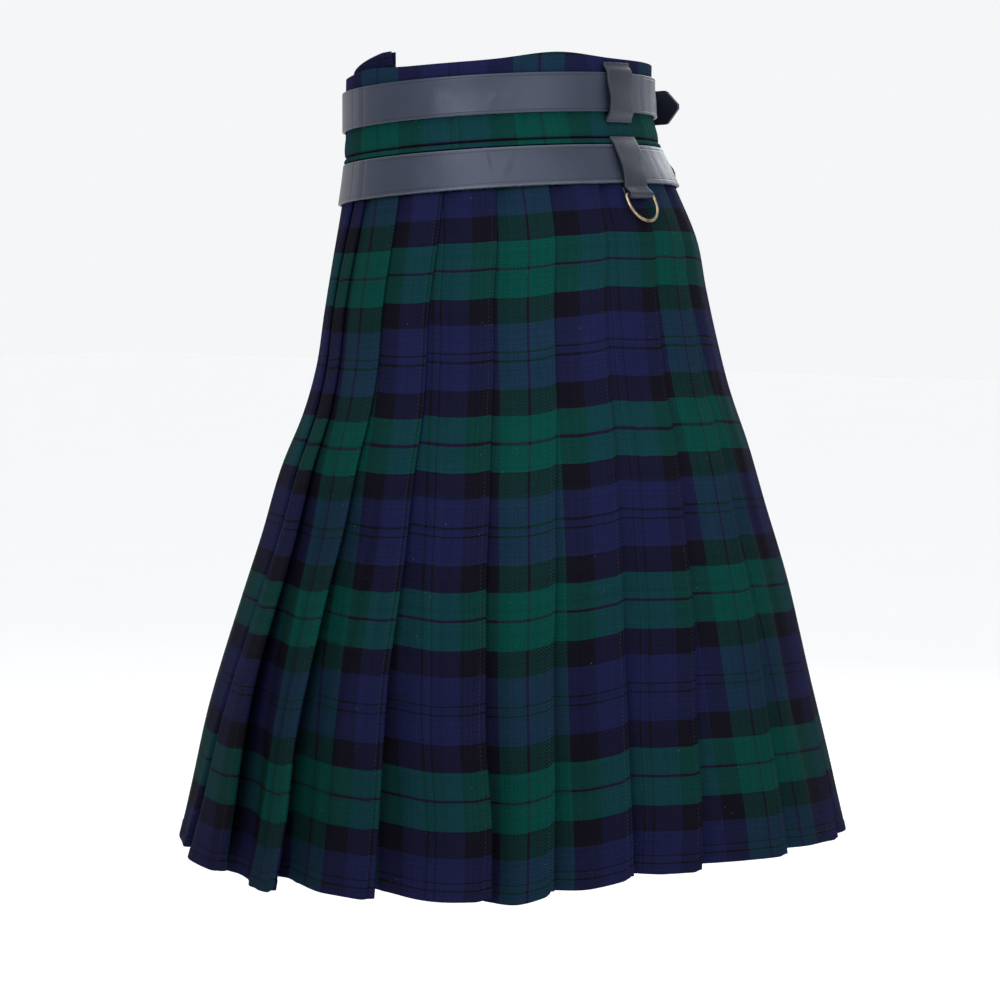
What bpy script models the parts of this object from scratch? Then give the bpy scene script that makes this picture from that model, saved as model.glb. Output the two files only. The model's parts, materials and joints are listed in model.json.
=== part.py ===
"""A kilt as it is worn: one long wrap of tartan cloth with a flat outer apron, a knife-pleated back and
an under apron, a smooth waistband, and leather straps that buckle at the wearer's right hip.

Metres, +Z up. The wearer faces -Y, the wearer's left is +X, and the origin is the centre of the waist.
Angles go round the body in degrees: 0 is the centre of the back, negative is the wearer's left, 180 is
the centre of the front. "Out" is a distance outwards from the base form, which is the innermost cloth.
"""

import math
from collections import namedtuple

import bpy
import numpy as np
from mathutils import Vector

# Cloth and its layers
CLOTH = 0.0013
SEAM_GAP = 0.0003
LYING_GAP = 0.0005
LOOP_GAP = 0.0005
LAYER_AT_WAIST = 0.0018
LAYER_AT_HEM = 0.0040

# Heights
RIM = 0.025
CLOTH_TOP = 0.024
BAND_BOTTOM = -0.0365
HEM = -0.545
STITCHED_TO = -0.185
SPREAD_FROM = -0.090

# How far the waistband's foot is rolled outwards
FOOT_ROLL = 0.0003

# The soft waves of the rim: angle, reach in degrees, rise
RIM_WAVES = ((334.0, 17.0, 0.0045), (258.0, 13.0, 0.0022))

# The lengthwise rows of the cloth, as shares of the way from its top to its hem
ROW_SHARES = np.array((0.0, 0.06, 0.1, 0.135, 0.17, 0.225, 0.29, 0.37, 0.46, 0.56, 0.68, 0.8, 0.91, 1.0))

Section = namedtuple("Section", "height half_width half_depth centre_y")
FORM = (
    Section(0.025, 0.1215, 0.0998, 0.0000),
    Section(0.000, 0.1215, 0.0998, 0.0000),
    Section(-0.033, 0.1245, 0.1027, 0.0030),
    Section(-0.069, 0.1345, 0.1130, 0.0100),
    Section(-0.107, 0.1449, 0.1243, 0.0155),
    Section(-0.144, 0.1512, 0.1309, 0.0160),
    Section(-0.186, 0.1594, 0.1380, 0.0180),
    Section(-0.218, 0.1676, 0.1464, 0.0175),
    Section(-0.258, 0.1825, 0.1609, 0.0160),
    Section(-0.309, 0.1965, 0.1750, 0.0155),
    Section(-0.358, 0.2110, 0.1895, 0.0145),
    Section(-0.446, 0.2320, 0.2120, 0.0105),
    Section(-0.502, 0.2434, 0.2247, 0.0110),
    Section(-0.560, 0.2560, 0.2370, 0.0100),
)

# The rows of cloth rise towards the back by this much for each metre, at each height
TILT_HEIGHTS = (-0.553, -0.300, -0.150, 0.000)
TILTS = (0.0, 0.055, 0.085, 0.080)

# Each fold of the wrap: where it lies at four heights, how far its edge stands off at the hem, the
# height of its lower corner, how late its panel swells out to it, how much higher the panel's hem is at
# its other end, and how much higher in the middle
FOLD_HEIGHTS = (-0.553, -0.280, -0.120, -0.045)
Fold = namedtuple("Fold", "waist hip thigh hem lift corner swell rise belly")
APRON_FOLD = Fold(-114, -121, -117.5, -121, 0.002, -0.5400, 1.6, 0.0, 0.0)
PLEAT_FOLDS = (
    Fold(-104, -110, -105.5, -101, 0.018, -0.5442, 0.45, 0.0020, 0.0),
    Fold(-86.5, -90.5, -89.2, -88.5, 0.020, -0.5500, 1.2, -0.0010, -0.0010),
    Fold(-69, -73.7, -73, -71.7, 0.013, -0.5500, 1.5, 0.0030, -0.0010),
    Fold(-51.5, -54.5, -55.3, -53.2, 0.008, -0.5490, 1.6, 0.0015, -0.0022),
    Fold(-34, -37, -40.4, -43.6, 0.005, -0.5455, 1.6, -0.0075, -0.0012),
    Fold(-15, -20.5, -25.8, -31, 0.005, -0.5385, 1.6, -0.0075, 0.0),
    Fold(3, -1.8, -8.6, -19.2, 0.007, -0.5385, 1.6, 0.0010, 0.0),
    Fold(19.5, 15, 8.8, 1.5, 0.006, -0.5395, 1.6, 0.0030, 0.0),
    Fold(36, 33, 29, 23, 0.006, -0.5430, 1.6, 0.0050, 0.0),
    Fold(53.5, 51.5, 48.5, 45, 0.008, -0.5450, 1.6, 0.0020, -0.0010),
    Fold(71, 70, 68, 66, 0.010, -0.5460, 1.5, -0.0020, 0.0),
    Fold(88, 88, 87, 86, 0.009, -0.5450, 1.5, 0.0010, -0.0010),
)
PLEATS_PER_PIECE = 4
HIDDEN_SHARE = 0.5
HIDDEN_RISE = 0.002
FOLD_ROUNDING = 0.025
LAST_PANEL_END = 112.0

# The aprons
APRON_EDGE = 102.3
APRON_STEPS = 22
UNDER_START = 112.4
UNDER_END = 267.0
UNDER_CLEARANCE = 0.0012

# The under band's free end rises past the rim, where its top edge leans outwards
UNDER_END_RISE = 0.0136
UNDER_END_LEAN = 0.0030
LEAN_FROM = RIM + 0.0015

# Leather and metal
STRAP_THICK = 0.0024
STRAP_HALF_WIDTH = 0.0143
UPPER_STRAP_HEIGHT = 0.0006
LOWER_STRAP_HEIGHT = -0.0522
STRAP_LEFT_END = 212.0
APRON_STRAP_THICK = 0.0022
APRON_STRAP_HALF_WIDTH = 0.013
APRON_STRAP_START = 128.0
TAIL_LENGTH = 0.074
TAIL_SHARES = (0.18, 0.36, 0.54, 0.70, 0.82, 1.0)
LOWER_TAIL_TURN = 34.0
KEEPER_THICK = 0.0020
KEEPER_HALF_WIDTH = 0.0150
RING_WIRE = 0.0012
RING_HALF_WIDTH = 0.0158
RING_DROP = 0.0215
RING_BAR_HEIGHT = -0.0765
KEEPER_ANGLE = 0.3
RING_ANGLE = -3.2
KEEPER_END_HALF_WIDTH = 0.0130
BUCKLE_WIRE = 0.0015
BUCKLE_HALF_HEIGHT = 0.0170
HEEL_BAR_ANGLE = 90.5
TIP_BAR_ANGLE = 102.5
BAND_BACK_END = 461.0
STRAP_STEP = 7.0

BLACK = (0.012, 0.013, 0.018, 1.0)
NAVY = (0.016, 0.019, 0.085, 1.0)
GREEN = (0.010, 0.075, 0.045, 1.0)
BRASS = (0.45, 0.32, 0.15, 1.0)


def clear_scene():
    for thing in list(bpy.data.objects):
        bpy.data.objects.remove(thing, do_unlink=True)


def make_material(name, colour, roughness, metallic=0.0):
    material = bpy.data.materials.new(name)
    material.use_nodes = True
    shader = material.node_tree.nodes["Principled BSDF"]
    shader.inputs["Base Color"].default_value = colour
    shader.inputs["Roughness"].default_value = roughness
    shader.inputs["Metallic"].default_value = metallic
    return material


def smooth_between(knots, values, at):
    """A smooth curve through the values at rising knots, held at its ends."""
    knots = np.asarray(knots, float)
    values = np.asarray(values, float)
    at = np.clip(at, knots[0], knots[-1])
    slopes = np.gradient(values, knots)
    left = np.clip(np.searchsorted(knots, at, side="right") - 1, 0, len(knots) - 2)
    span = knots[left + 1] - knots[left]
    share = (at - knots[left]) / span
    rise = values[left] * (1 + 2 * share) * (1 - share) ** 2
    rise = rise + values[left + 1] * share**2 * (3 - 2 * share)
    start_bend = slopes[left] * span * share * (1 - share) ** 2
    end_bend = slopes[left + 1] * span * share**2 * (share - 1)
    return rise + start_bend + end_bend


def ease(share):
    share = np.clip(share, 0.0, 1.0)
    return share * share * (3 - 2 * share)


def place(angle, height, out):
    """The point of the worn form at an angle and height, moved out; arrays or single numbers."""
    sections = FORM[::-1]
    heights = [s.height for s in sections]
    half_width = smooth_between(heights, [s.half_width for s in sections], height)
    half_depth = smooth_between(heights, [s.half_depth for s in sections], height)
    centre_y = smooth_between(heights, [s.centre_y for s in sections], height)
    turn = np.radians(angle)
    side, back = -np.sin(turn), np.cos(turn)
    slope = np.hypot(side / half_width, back / half_depth)
    x = half_width * side + out * side / half_width / slope
    y = half_depth * back + out * back / half_depth / slope
    rise = np.interp(height, TILT_HEIGHTS, TILTS) * y
    return np.stack(np.broadcast_arrays(x, centre_y + y, height + rise), axis=-1)


def on_cloth(angle, height, out):
    """As place, but between the cloth's rows it follows the straight run from row to row."""
    rows = CLOTH_TOP + ROW_SHARES * (HEM - CLOTH_TOP)
    height = np.asarray(height, float)
    above = np.clip(np.searchsorted(-rows, -height, side="right") - 1, 0, len(rows) - 2)
    share = ((rows[above] - height) / (rows[above] - rows[above + 1]))[..., None]
    return (1 - share) * place(angle, rows[above], out) + share * place(angle, rows[above + 1], out)


def layer_at(height):
    """The distance from one layer of folded cloth to the next."""
    share = (SPREAD_FROM - height) / (SPREAD_FROM - HEM)
    return LAYER_AT_WAIST + (LAYER_AT_HEM - LAYER_AT_WAIST) * np.clip(share, 0, 1) ** 2


def angle_of(fold, height):
    return smooth_between(FOLD_HEIGHTS, (fold.hem, fold.thigh, fold.hip, fold.waist), height)


def lift_of(fold, height):
    return fold.lift * ease((STITCHED_TO - height) / (STITCHED_TO - HEM)) ** 0.8


def column(angle, out, bottom=HEM, top=CLOTH_TOP):
    """One lengthwise line of cloth; angle and out are functions of the height."""
    heights = top + ROW_SHARES * (bottom - top)
    return place(angle(heights), heights, out(heights))


def pleat_columns(before_last, last, fold, last_of_piece):
    """The lengthwise lines of one knife pleat, from its hidden inner layer, out past the last fold's
    edge, over its own panel to its fold, and back under it."""

    def inner_start(h):
        step = HIDDEN_SHARE - FOLD_ROUNDING
        return angle_of(last, h) - step * (angle_of(last, h) - angle_of(before_last, h))

    def along(share):
        return lambda h: angle_of(last, h) + share * (angle_of(fold, h) - angle_of(last, h))

    def outer(share):
        settled = 1 - HIDDEN_SHARE
        return lambda h: 2 * layer_at(h) * ease(share / settled) + lift_of(fold, h) * share**fold.swell

    def middle(share):
        reach = (share - (1 - HIDDEN_SHARE)) / HIDDEN_SHARE
        return lambda h: layer_at(h) + lift_of(fold, h) * reach**1.2

    def corner(share):
        return fold.corner + fold.rise * (1 - share**2) + fold.belly * 4 * share * (1 - share)

    def hidden_corner(share):
        return corner(share) + HIDDEN_RISE * ease((1 - share) / 0.1)

    fold_start = 1 - HIDDEN_SHARE
    half_way = 1 - HIDDEN_SHARE / 2
    near_edge = 1 - FOLD_ROUNDING
    near_start = fold_start + FOLD_ROUNDING
    columns = [
        column(inner_start, lambda h: 0 * h, hidden_corner(0)),
        column(along(0), lambda h: 0 * h, corner(0)),
    ]
    for share in (fold_start / 2, fold_start, half_way, near_edge):
        columns.append(column(along(share), outer(share), corner(share)))
    columns.append(column(along(1), lambda h: outer(1)(h) - layer_at(h) / 2, corner(1)))
    for share in (near_edge, half_way, near_start):
        columns.append(column(along(share), middle(share), hidden_corner(share)))
    if not last_of_piece:
        columns.append(column(along(fold_start), lambda h: layer_at(h) / 2, hidden_corner(fold_start)))
    return columns


def sheet(name, columns, thickness, material, collection):
    """A wall of even thickness round the surface that runs through the columns of points."""
    grid = np.array(columns)
    across, along = grid.shape[:2]
    faces = []
    for i in range(across - 1):
        for j in range(along - 1):
            corner = i * along + j
            faces.append((corner, corner + 1, corner + along + 1, corner + along))
    mesh = bpy.data.meshes.new(name)
    mesh.from_pydata([tuple(p) for p in grid.reshape(-1, 3)], [], faces)
    mesh.materials.append(material)
    mesh.shade_smooth()
    thing = bpy.data.objects.new(name, mesh)
    collection.objects.link(thing)
    wall = thing.modifiers.new("wall", "SOLIDIFY")
    wall.thickness = thickness
    wall.offset = 0.0
    wall.use_even_offset = True
    return thing


def wire(name, points, radius, material, collection, closed=True):
    """A round wire through the points."""
    curve = bpy.data.curves.new(name, "CURVE")
    curve.dimensions = "3D"
    curve.bevel_depth = radius
    curve.bevel_resolution = 2
    curve.use_fill_caps = not closed
    spline = curve.splines.new("POLY")
    spline.points.add(len(points) - 1)
    for knot, point in zip(spline.points, points):
        knot.co = (*point, 1.0)
    spline.use_cyclic_u = closed
    curve.materials.append(material)
    thing = bpy.data.objects.new(name, curve)
    collection.objects.link(thing)
    return thing


def apron_level(angle):
    """Which layer the outer apron lies on: the first over the under apron, the second at its fold."""
    return 1 + ease((angle - 205.0) / 28.0)


def make_outer_apron(material, collection):
    """The front panel, from its free edge to its fold on the left hip, with the return under it."""

    def fold_angle(h):
        return 360 + angle_of(APRON_FOLD, h)

    def along(share):
        return lambda h: APRON_EDGE + share * (fold_angle(h) - APRON_EDGE)

    def outer(share):
        edge_share = np.clip((share - 0.75) / 0.25, 0, 1)

        def out(h):
            level = apron_level(along(share)(h))
            return level * layer_at(h) + lift_of(APRON_FOLD, h) * edge_share**1.6

        return out

    def corner(share):
        return APRON_FOLD.corner + 0.002 * math.sin(math.pi * share)

    return_share = 0.075
    rounding = 0.006
    columns = []
    for step in range(APRON_STEPS + 1):
        share = step / APRON_STEPS * (1 - rounding)
        columns.append(column(along(share), outer(share), corner(share)))
    columns.append(column(along(1), lambda h: outer(1)(h) - layer_at(h) / 2, corner(1)))
    for share in (1 - rounding, 1 - return_share / 2, 1 - return_share):
        reach = (share - (1 - return_share)) / return_share
        columns.append(
            column(
                along(share),
                lambda h, reach=reach: layer_at(h) + lift_of(APRON_FOLD, h) * reach**1.2,
                corner(1),
            )
        )
    return sheet("outer_apron", columns, CLOTH, material, collection)


def make_pleats(material, collection):
    """The pleated back, in pieces that are joined inside pleats."""
    apron_start = Fold(-134, -140, -136, -139, 0.0, HEM, 1.0, 0.0, 0.0)
    folds = (apron_start, APRON_FOLD) + PLEAT_FOLDS
    names = ("pleats_left", "pleats_back", "pleats_right")
    for piece, name in enumerate(names):
        columns = []
        for i in range(piece * PLEATS_PER_PIECE, (piece + 1) * PLEATS_PER_PIECE):
            last = i == (piece + 1) * PLEATS_PER_PIECE - 1 and name != names[-1]
            columns += pleat_columns(folds[i], folds[i + 1], folds[i + 2], last)
        if name == names[-1]:
            columns += last_panel_columns(folds[-2], folds[-1])
        sheet(name, columns, CLOTH, material, collection)


def last_panel_columns(last, fold):
    """The flat panel after the last fold, which ends at the seam with the under apron."""

    def inner_start(h):
        step = HIDDEN_SHARE - FOLD_ROUNDING
        return angle_of(fold, h) - step * (angle_of(fold, h) - angle_of(last, h))

    def flat(h):
        return 0 * h

    columns = [column(inner_start, flat), column(lambda h: angle_of(fold, h), flat)]
    for share in (0.33, 0.66, 1.0):
        columns.append(
            column(
                lambda h, share=share: angle_of(fold, h) + share * (LAST_PANEL_END - angle_of(fold, h)),
                flat,
            )
        )
    return columns


def under_top(angle):
    """The under apron's top rises a little towards its free end."""
    return CLOTH_TOP + UNDER_END_RISE * np.clip((angle - 212.0) / 50.0, 0.0, 1.0)


def under_out(angle, height):
    """The under apron goes inside the pleats at the left hip, and gives room to its own band."""
    inside = ease((angle - 195.0) / 30.0) * (layer_at(height) + UNDER_CLEARANCE)
    band_room = ease((height + 0.075) / 0.03) * ease((angle - 114.0) / 8.0)
    return -inside - band_room * LAYER_AT_WAIST


def make_under_apron(material, collection):
    columns = []
    for angle in np.linspace(UNDER_START, UNDER_END, APRON_STEPS):
        columns.append(
            column(
                lambda h, angle=angle: angle + 0 * h,
                lambda h, angle=angle: under_out(angle, h),
                HEM + 0.009,
                under_top(angle),
            )
        )
    return sheet("under_apron", columns, CLOTH, material, collection)


def rim_height(angle):
    """The waistband's top edge, which rises in two soft waves."""
    return RIM + sum(rise * math.exp(-(((angle - at) / reach) ** 2)) for at, reach, rise in RIM_WAVES)


def make_bands(material, collection):
    """The outer waistband runs over the outer apron, the left hip and the pleats. The under one lies
    on the under apron."""
    cloth_rows = CLOTH_TOP + ROW_SHARES[1:3] * (HEM - CLOTH_TOP)
    angles = np.arange(APRON_EDGE + 0.3, BAND_BACK_END + 0.1, (BAND_BACK_END - APRON_EDGE - 0.3) / 58)
    rolled = np.array((0.0, 0.0, 0.0, FOOT_ROLL))
    columns = []
    for angle in angles:
        heights = np.array((rim_height(angle), *cloth_rows, BAND_BOTTOM))
        columns.append(on_cloth(angle, heights, skin(angle, True) - CLOTH / 2 + rolled))
    sheet("waistband", columns, CLOTH, material, collection)
    columns = []
    for angle in np.linspace(UNDER_START + 9.0, UNDER_END, APRON_STEPS):
        top = under_top(angle) + 0.0005
        heights = np.array((top, min(top - 0.001, LEAN_FROM), *cloth_rows, BAND_BOTTOM))
        lean = np.array((UNDER_END_LEAN * ease((angle - 215.0) / 15.0), 0.0, 0.0, 0.0, 0.0))
        columns.append(place(angle, heights, under_out(angle, heights) + CLOTH + LYING_GAP + lean))
    sheet("under_waistband", columns, CLOTH, material, collection)


def skin(angle, banded):
    """The outer face that the straps lie on, with or without the waistband between."""
    angle = np.asarray(angle, float)
    right_hip = 2 - ease((angle % 360 - 90.0) / 10.0)
    level = np.where(angle % 360 < 180, np.where(angle % 360 < 88, 2.0, right_hip), 0)
    level = np.where(angle % 360 >= 180, apron_level(angle % 360), level)
    level = np.where(angle % 360 > 233, 2.0, level)
    face = level * LAYER_AT_WAIST + CLOTH / 2
    return face + (SEAM_GAP + CLOTH) * banded


def strap_rows(middle, half_width):
    return np.array((middle + half_width, middle - half_width))


def make_long_strap(name, middle, banded, material, collection):
    """A strap round the back whose right end is folded round the buckle's heel bar."""
    heights = strap_rows(middle, STRAP_HALF_WIDTH)
    lying = LYING_GAP + STRAP_THICK / 2
    loop = BUCKLE_WIRE + LOOP_GAP + STRAP_THICK / 2
    heel = HEEL_BAR_ANGLE
    heel_skin = skin(heel, banded)
    bar = heel_skin + lying + loop
    doubled = lying + STRAP_THICK + SEAM_GAP
    degrees_per_metre = 1 / np.linalg.norm(on_cloth(heel + 1, middle, bar) - on_cloth(heel, middle, bar))
    path = [(a, skin(a, banded) + lying) for a in np.arange(STRAP_LEFT_END - 360, heel - 5, STRAP_STEP)]
    path += [(heel - 3.0, heel_skin + lying)]
    for turn in (0, 45, 90, 135, 180):
        aside = loop * math.sin(math.radians(turn)) * degrees_per_metre
        path.append((heel + aside, bar - loop * math.cos(math.radians(turn))))
    path.append((heel - 2.6, bar + loop * 0.8))
    for back in (6.0, 10.0, 15.0):
        path.append((heel - back, skin(heel - back, banded) + doubled))
    columns = [on_cloth(a, heights, out) for a, out in path]
    return sheet(name, columns, STRAP_THICK, material, collection)


def make_apron_strap(name, middle, banded, stands_off, material, collection):
    """A short strap from the outer apron, under the buckle's tip bar, over its heel bar and on to a
    pointed tail, which stands off the hip or lies along it."""
    heights = strap_rows(middle, APRON_STRAP_HALF_WIDTH)
    half = APRON_STRAP_THICK / 2
    lying = LYING_GAP + half
    heel_top = LYING_GAP + 2 * LOOP_GAP + 2 * STRAP_THICK + 2 * BUCKLE_WIRE
    over = heel_top + SEAM_GAP + half
    path = [(a, lying) for a in np.arange(APRON_STRAP_START, TIP_BAR_ANGLE + 1.0, -5.0)]
    path += [
        (TIP_BAR_ANGLE, lying),
        (TIP_BAR_ANGLE - 2.6, lying + 0.0006),
        (TIP_BAR_ANGLE - 5.6, lying + 0.6 * (over - lying)),
        (TIP_BAR_ANGLE - 8.2, lying + 0.95 * (over - lying)),
        (HEEL_BAR_ANGLE, over),
    ]
    columns = [on_cloth(a, heights, skin(a, banded) + out) for a, out in path]
    start = columns[-1]
    for share in TAIL_SHARES:
        if stands_off:
            run = share * TAIL_LENGTH
            points = start + np.array((0.010 * share**2, run, 0.03 * run))
        else:
            angle = HEEL_BAR_ANGLE - share * LOWER_TAIL_TURN
            points = on_cloth(angle, heights, skin(angle, banded) + over - 0.0010 * share)
        narrow = max(share - 0.82, 0) / 0.18 * 0.86
        centre = points.mean(axis=0)
        columns.append(centre + (points - centre) * (1 - narrow))
    return sheet(name, columns, APRON_STRAP_THICK, material, collection)


def make_buckle(name, middle, banded, brass, collection):
    """A rounded frame whose heel bar the long strap holds, and a prong across it."""
    bar_out = LYING_GAP + STRAP_THICK + LOOP_GAP + BUCKLE_WIRE
    corners = []
    for angle, side in (
        (HEEL_BAR_ANGLE, 1),
        (HEEL_BAR_ANGLE, -1),
        (TIP_BAR_ANGLE, -1),
        (TIP_BAR_ANGLE, 1),
    ):
        out = skin(angle, banded) + bar_out
        upper, lower = on_cloth(angle, strap_rows(middle, STRAP_HALF_WIDTH), out)
        reach = BUCKLE_HALF_HEIGHT / STRAP_HALF_WIDTH
        corners.append(Vector((upper + lower) / 2 + side * reach * (upper - lower) / 2))
    points = []
    for i, corner in enumerate(corners):
        before = (corners[i - 1] - corner).normalized()
        after = (corners[(i + 1) % 4] - corner).normalized()
        for share in (0.0, 0.35, 0.65, 1.0):
            inward = before * (1 - share) ** 2 + after * share**2
            points.append(corner + inward * (0.0016 if i < 2 else 0.0045))
    wire(name, points, BUCKLE_WIRE, brass, collection)
    top_of_strap = LYING_GAP + 2 * LOOP_GAP + 2 * STRAP_THICK + 2 * BUCKLE_WIRE + SEAM_GAP + APRON_STRAP_THICK
    prong_out = top_of_strap + SEAM_GAP + 0.0011
    rest_out = bar_out + BUCKLE_WIRE + SEAM_GAP + 0.0011
    path = (
        (HEEL_BAR_ANGLE + 0.4, prong_out),
        (HEEL_BAR_ANGLE + 3.5, prong_out),
        (TIP_BAR_ANGLE - 5.5, prong_out - 0.0006),
        (TIP_BAR_ANGLE - 2.5, rest_out + 0.0008),
        (TIP_BAR_ANGLE + 0.5, rest_out),
    )
    points = [Vector(on_cloth(a, middle, skin(a, banded) + out)) for a, out in path]
    wire(name + "_prong", points, 0.0011, brass, collection, closed=False)


def crosswise(path, half_widths):
    """Columns of a strip that runs down the garment: each step is an angle, a height and an out."""
    columns = [[], [], []]
    for (angle, height, out), half_width in zip(path, half_widths):
        per_degree = np.linalg.norm(on_cloth(angle + 1.0, height, out) - on_cloth(angle, height, out))
        for side, line in zip((-1, 0, 1), columns):
            line.append(on_cloth(angle + side * half_width / per_degree, height, out))
    return columns


def ring_frame():
    """The middle of the ring's bar, and the directions aside, down the cloth and out of it."""
    lying = Vector(on_cloth(RING_ANGLE, RING_BAR_HEIGHT, skin(0.0, False)))
    beside = Vector(on_cloth(RING_ANGLE + 1.0, RING_BAR_HEIGHT, skin(0.0, False)))
    lower = Vector(on_cloth(RING_ANGLE, RING_BAR_HEIGHT - 0.01, skin(0.0, False)))
    aside = beside - lying
    aside = Vector((aside.x, aside.y, 0.0)).normalized()
    down = lower - lying
    down = (down - aside * down.dot(aside)).normalized()
    outward = down.cross(aside)
    standing = SEAM_GAP + KEEPER_THICK + SEAM_GAP + RING_WIRE
    return lying + outward * standing, aside, down, outward


def make_keepers(leather, collection):
    """Two leather loops at the centre back; the lower one's end is folded round the ring's bar."""
    half = KEEPER_THICK / 2
    band_face = skin(0.0, True)
    over = band_face + LYING_GAP + STRAP_THICK + SEAM_GAP + half
    sewn = band_face + SEAM_GAP + half
    path = (
        (0.0222, sewn),
        (0.0196, sewn + 0.0002),
        (0.0160, over + 0.0002),
        (0.0006, over + 0.0009),
        (-0.0148, over + 0.0002),
        (-0.0184, sewn + 0.0002),
        (-0.0215, sewn),
    )
    path = [(KEEPER_ANGLE, height, out) for height, out in path]
    columns = crosswise(path, [KEEPER_HALF_WIDTH] * len(path))
    sheet("upper_keeper", columns, KEEPER_THICK, leather, collection)

    over_strap = skin(0.0, False) + LYING_GAP + STRAP_THICK + SEAM_GAP + half
    path = (
        (KEEPER_ANGLE, -0.0322, sewn),
        (KEEPER_ANGLE, -0.0345, sewn + 0.0006),
        (0.6 * KEEPER_ANGLE, -0.0372, over_strap + 0.0006),
        (0.5 * RING_ANGLE, -0.0550, over_strap + 0.0006),
        (0.85 * RING_ANGLE, -0.0680, over_strap + 0.0006),
    )
    widths = np.linspace(KEEPER_HALF_WIDTH, KEEPER_END_HALF_WIDTH, len(path))
    columns = crosswise(path, widths)
    bar, aside, down, outward = ring_frame()
    loop = RING_WIRE + SEAM_GAP + half + 0.0001
    for turn in (0, 45, 90, 135, 180):
        drop = loop * math.sin(math.radians(turn))
        stand = loop * math.cos(math.radians(turn))
        for side, line in zip((-1, 0, 1), columns):
            line.append(bar + down * drop + outward * stand + aside * side * KEEPER_END_HALF_WIDTH)
    for side, line in zip((-1, 0, 1), columns):
        line.append(bar - down * 0.0065 - outward * loop + aside * side * KEEPER_END_HALF_WIDTH)
    sheet("lower_keeper", columns, KEEPER_THICK, leather, collection)


def make_ring(brass, collection):
    """The D-ring hangs from its straight bar, with its origin on the bar."""
    bar, aside, down, outward = ring_frame()
    straight = 0.0060
    points = []
    for side in (1, -1):
        arc = []
        for turn in np.linspace(0, 90, 7):
            across = RING_HALF_WIDTH * math.cos(math.radians(turn))
            drop = straight + (RING_DROP - straight) * math.sin(math.radians(turn))
            arc.append((side * across, drop))
        corner = [(side * (RING_HALF_WIDTH - 0.0028), 0.0), (side * (RING_HALF_WIDTH - 0.0006), 0.0012)]
        line = corner + [(side * RING_HALF_WIDTH, 0.0034)] + arc
        points += line if side == 1 else line[::-1][1:]
    places = [aside * across + down * drop for across, drop in points]
    ring = wire("d_ring", places, RING_WIRE, brass, collection)
    ring.location = bar
    return ring


def main():
    clear_scene()
    collection = bpy.data.collections.new("kilt")
    bpy.context.scene.collection.children.link(collection)
    tartan = make_material("tartan_cloth", GREEN, 0.85)
    band_cloth = make_material("band_cloth", NAVY, 0.85)
    leather = make_material("black_leather", BLACK, 0.42)
    brass = make_material("aged_brass", BRASS, 0.35, 1.0)
    make_outer_apron(tartan, collection)
    make_pleats(tartan, collection)
    make_under_apron(tartan, collection)
    make_bands(band_cloth, collection)
    for name, middle, banded in (("upper", UPPER_STRAP_HEIGHT, True), ("lower", LOWER_STRAP_HEIGHT, False)):
        make_long_strap(name + "_strap", middle, banded, leather, collection)
        make_apron_strap(name + "_apron_strap", middle, banded, banded, leather, collection)
        make_buckle(name + "_buckle", middle, banded, brass, collection)
    make_keepers(leather, collection)
    make_ring(brass, collection)


main()
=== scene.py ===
"""The worn kilt's looks: fine tartan cloth over the frame's solids, with its pleats, creases, hems and
sewing, leather straps, brass fittings, soft studio light and the camera.

Angles go round the body in degrees: 0 is the centre of the back, negative is the wearer's left, 180 is
the centre of the front. "Out" is a distance outwards from the base form, the innermost cloth.
"""

import json
import math
from collections import namedtuple

import bpy
import numpy as np
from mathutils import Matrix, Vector


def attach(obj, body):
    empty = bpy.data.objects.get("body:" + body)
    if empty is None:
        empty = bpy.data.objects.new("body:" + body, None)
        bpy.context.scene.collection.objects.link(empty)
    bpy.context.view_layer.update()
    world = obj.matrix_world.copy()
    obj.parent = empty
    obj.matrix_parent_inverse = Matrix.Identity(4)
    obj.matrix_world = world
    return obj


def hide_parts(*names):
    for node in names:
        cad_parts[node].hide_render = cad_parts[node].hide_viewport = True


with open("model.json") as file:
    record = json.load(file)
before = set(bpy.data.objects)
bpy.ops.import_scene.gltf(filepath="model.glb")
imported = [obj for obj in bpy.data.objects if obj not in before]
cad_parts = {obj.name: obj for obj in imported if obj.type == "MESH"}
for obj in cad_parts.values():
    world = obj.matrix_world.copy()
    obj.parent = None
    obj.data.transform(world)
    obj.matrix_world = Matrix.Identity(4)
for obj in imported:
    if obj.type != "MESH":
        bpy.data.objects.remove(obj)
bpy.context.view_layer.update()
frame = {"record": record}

# The form, the layers and the folds, as the solids have them
CLOTH = 0.0013
SEAM_GAP = 0.0003
LYING_GAP = 0.0005
LOOP_GAP = 0.0005
LAYER_AT_WAIST = 0.0018
LAYER_AT_HEM = 0.0040
SPREAD_FROM = -0.090
RIM = 0.025
CLOTH_TOP = 0.024
BAND_BOTTOM = -0.0365
HEM = -0.545
STITCHED_TO = -0.185
FORM = (
    (-0.560, 0.2560, 0.2370, 0.0100),
    (-0.502, 0.2434, 0.2247, 0.0110),
    (-0.446, 0.2320, 0.2120, 0.0105),
    (-0.358, 0.2110, 0.1895, 0.0145),
    (-0.309, 0.1965, 0.1750, 0.0155),
    (-0.258, 0.1825, 0.1609, 0.0160),
    (-0.218, 0.1676, 0.1464, 0.0175),
    (-0.186, 0.1594, 0.1380, 0.0180),
    (-0.144, 0.1512, 0.1309, 0.0160),
    (-0.107, 0.1449, 0.1243, 0.0155),
    (-0.069, 0.1345, 0.1130, 0.0100),
    (-0.033, 0.1245, 0.1027, 0.0030),
    (0.000, 0.1215, 0.0998, 0.0000),
    (0.025, 0.1215, 0.0998, 0.0000),
)
TILT_HEIGHTS = (-0.553, -0.300, -0.150, 0.000)
TILTS = (0.0, 0.055, 0.085, 0.080)
FOLD_HEIGHTS = (-0.553, -0.280, -0.120, -0.045)
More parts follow.
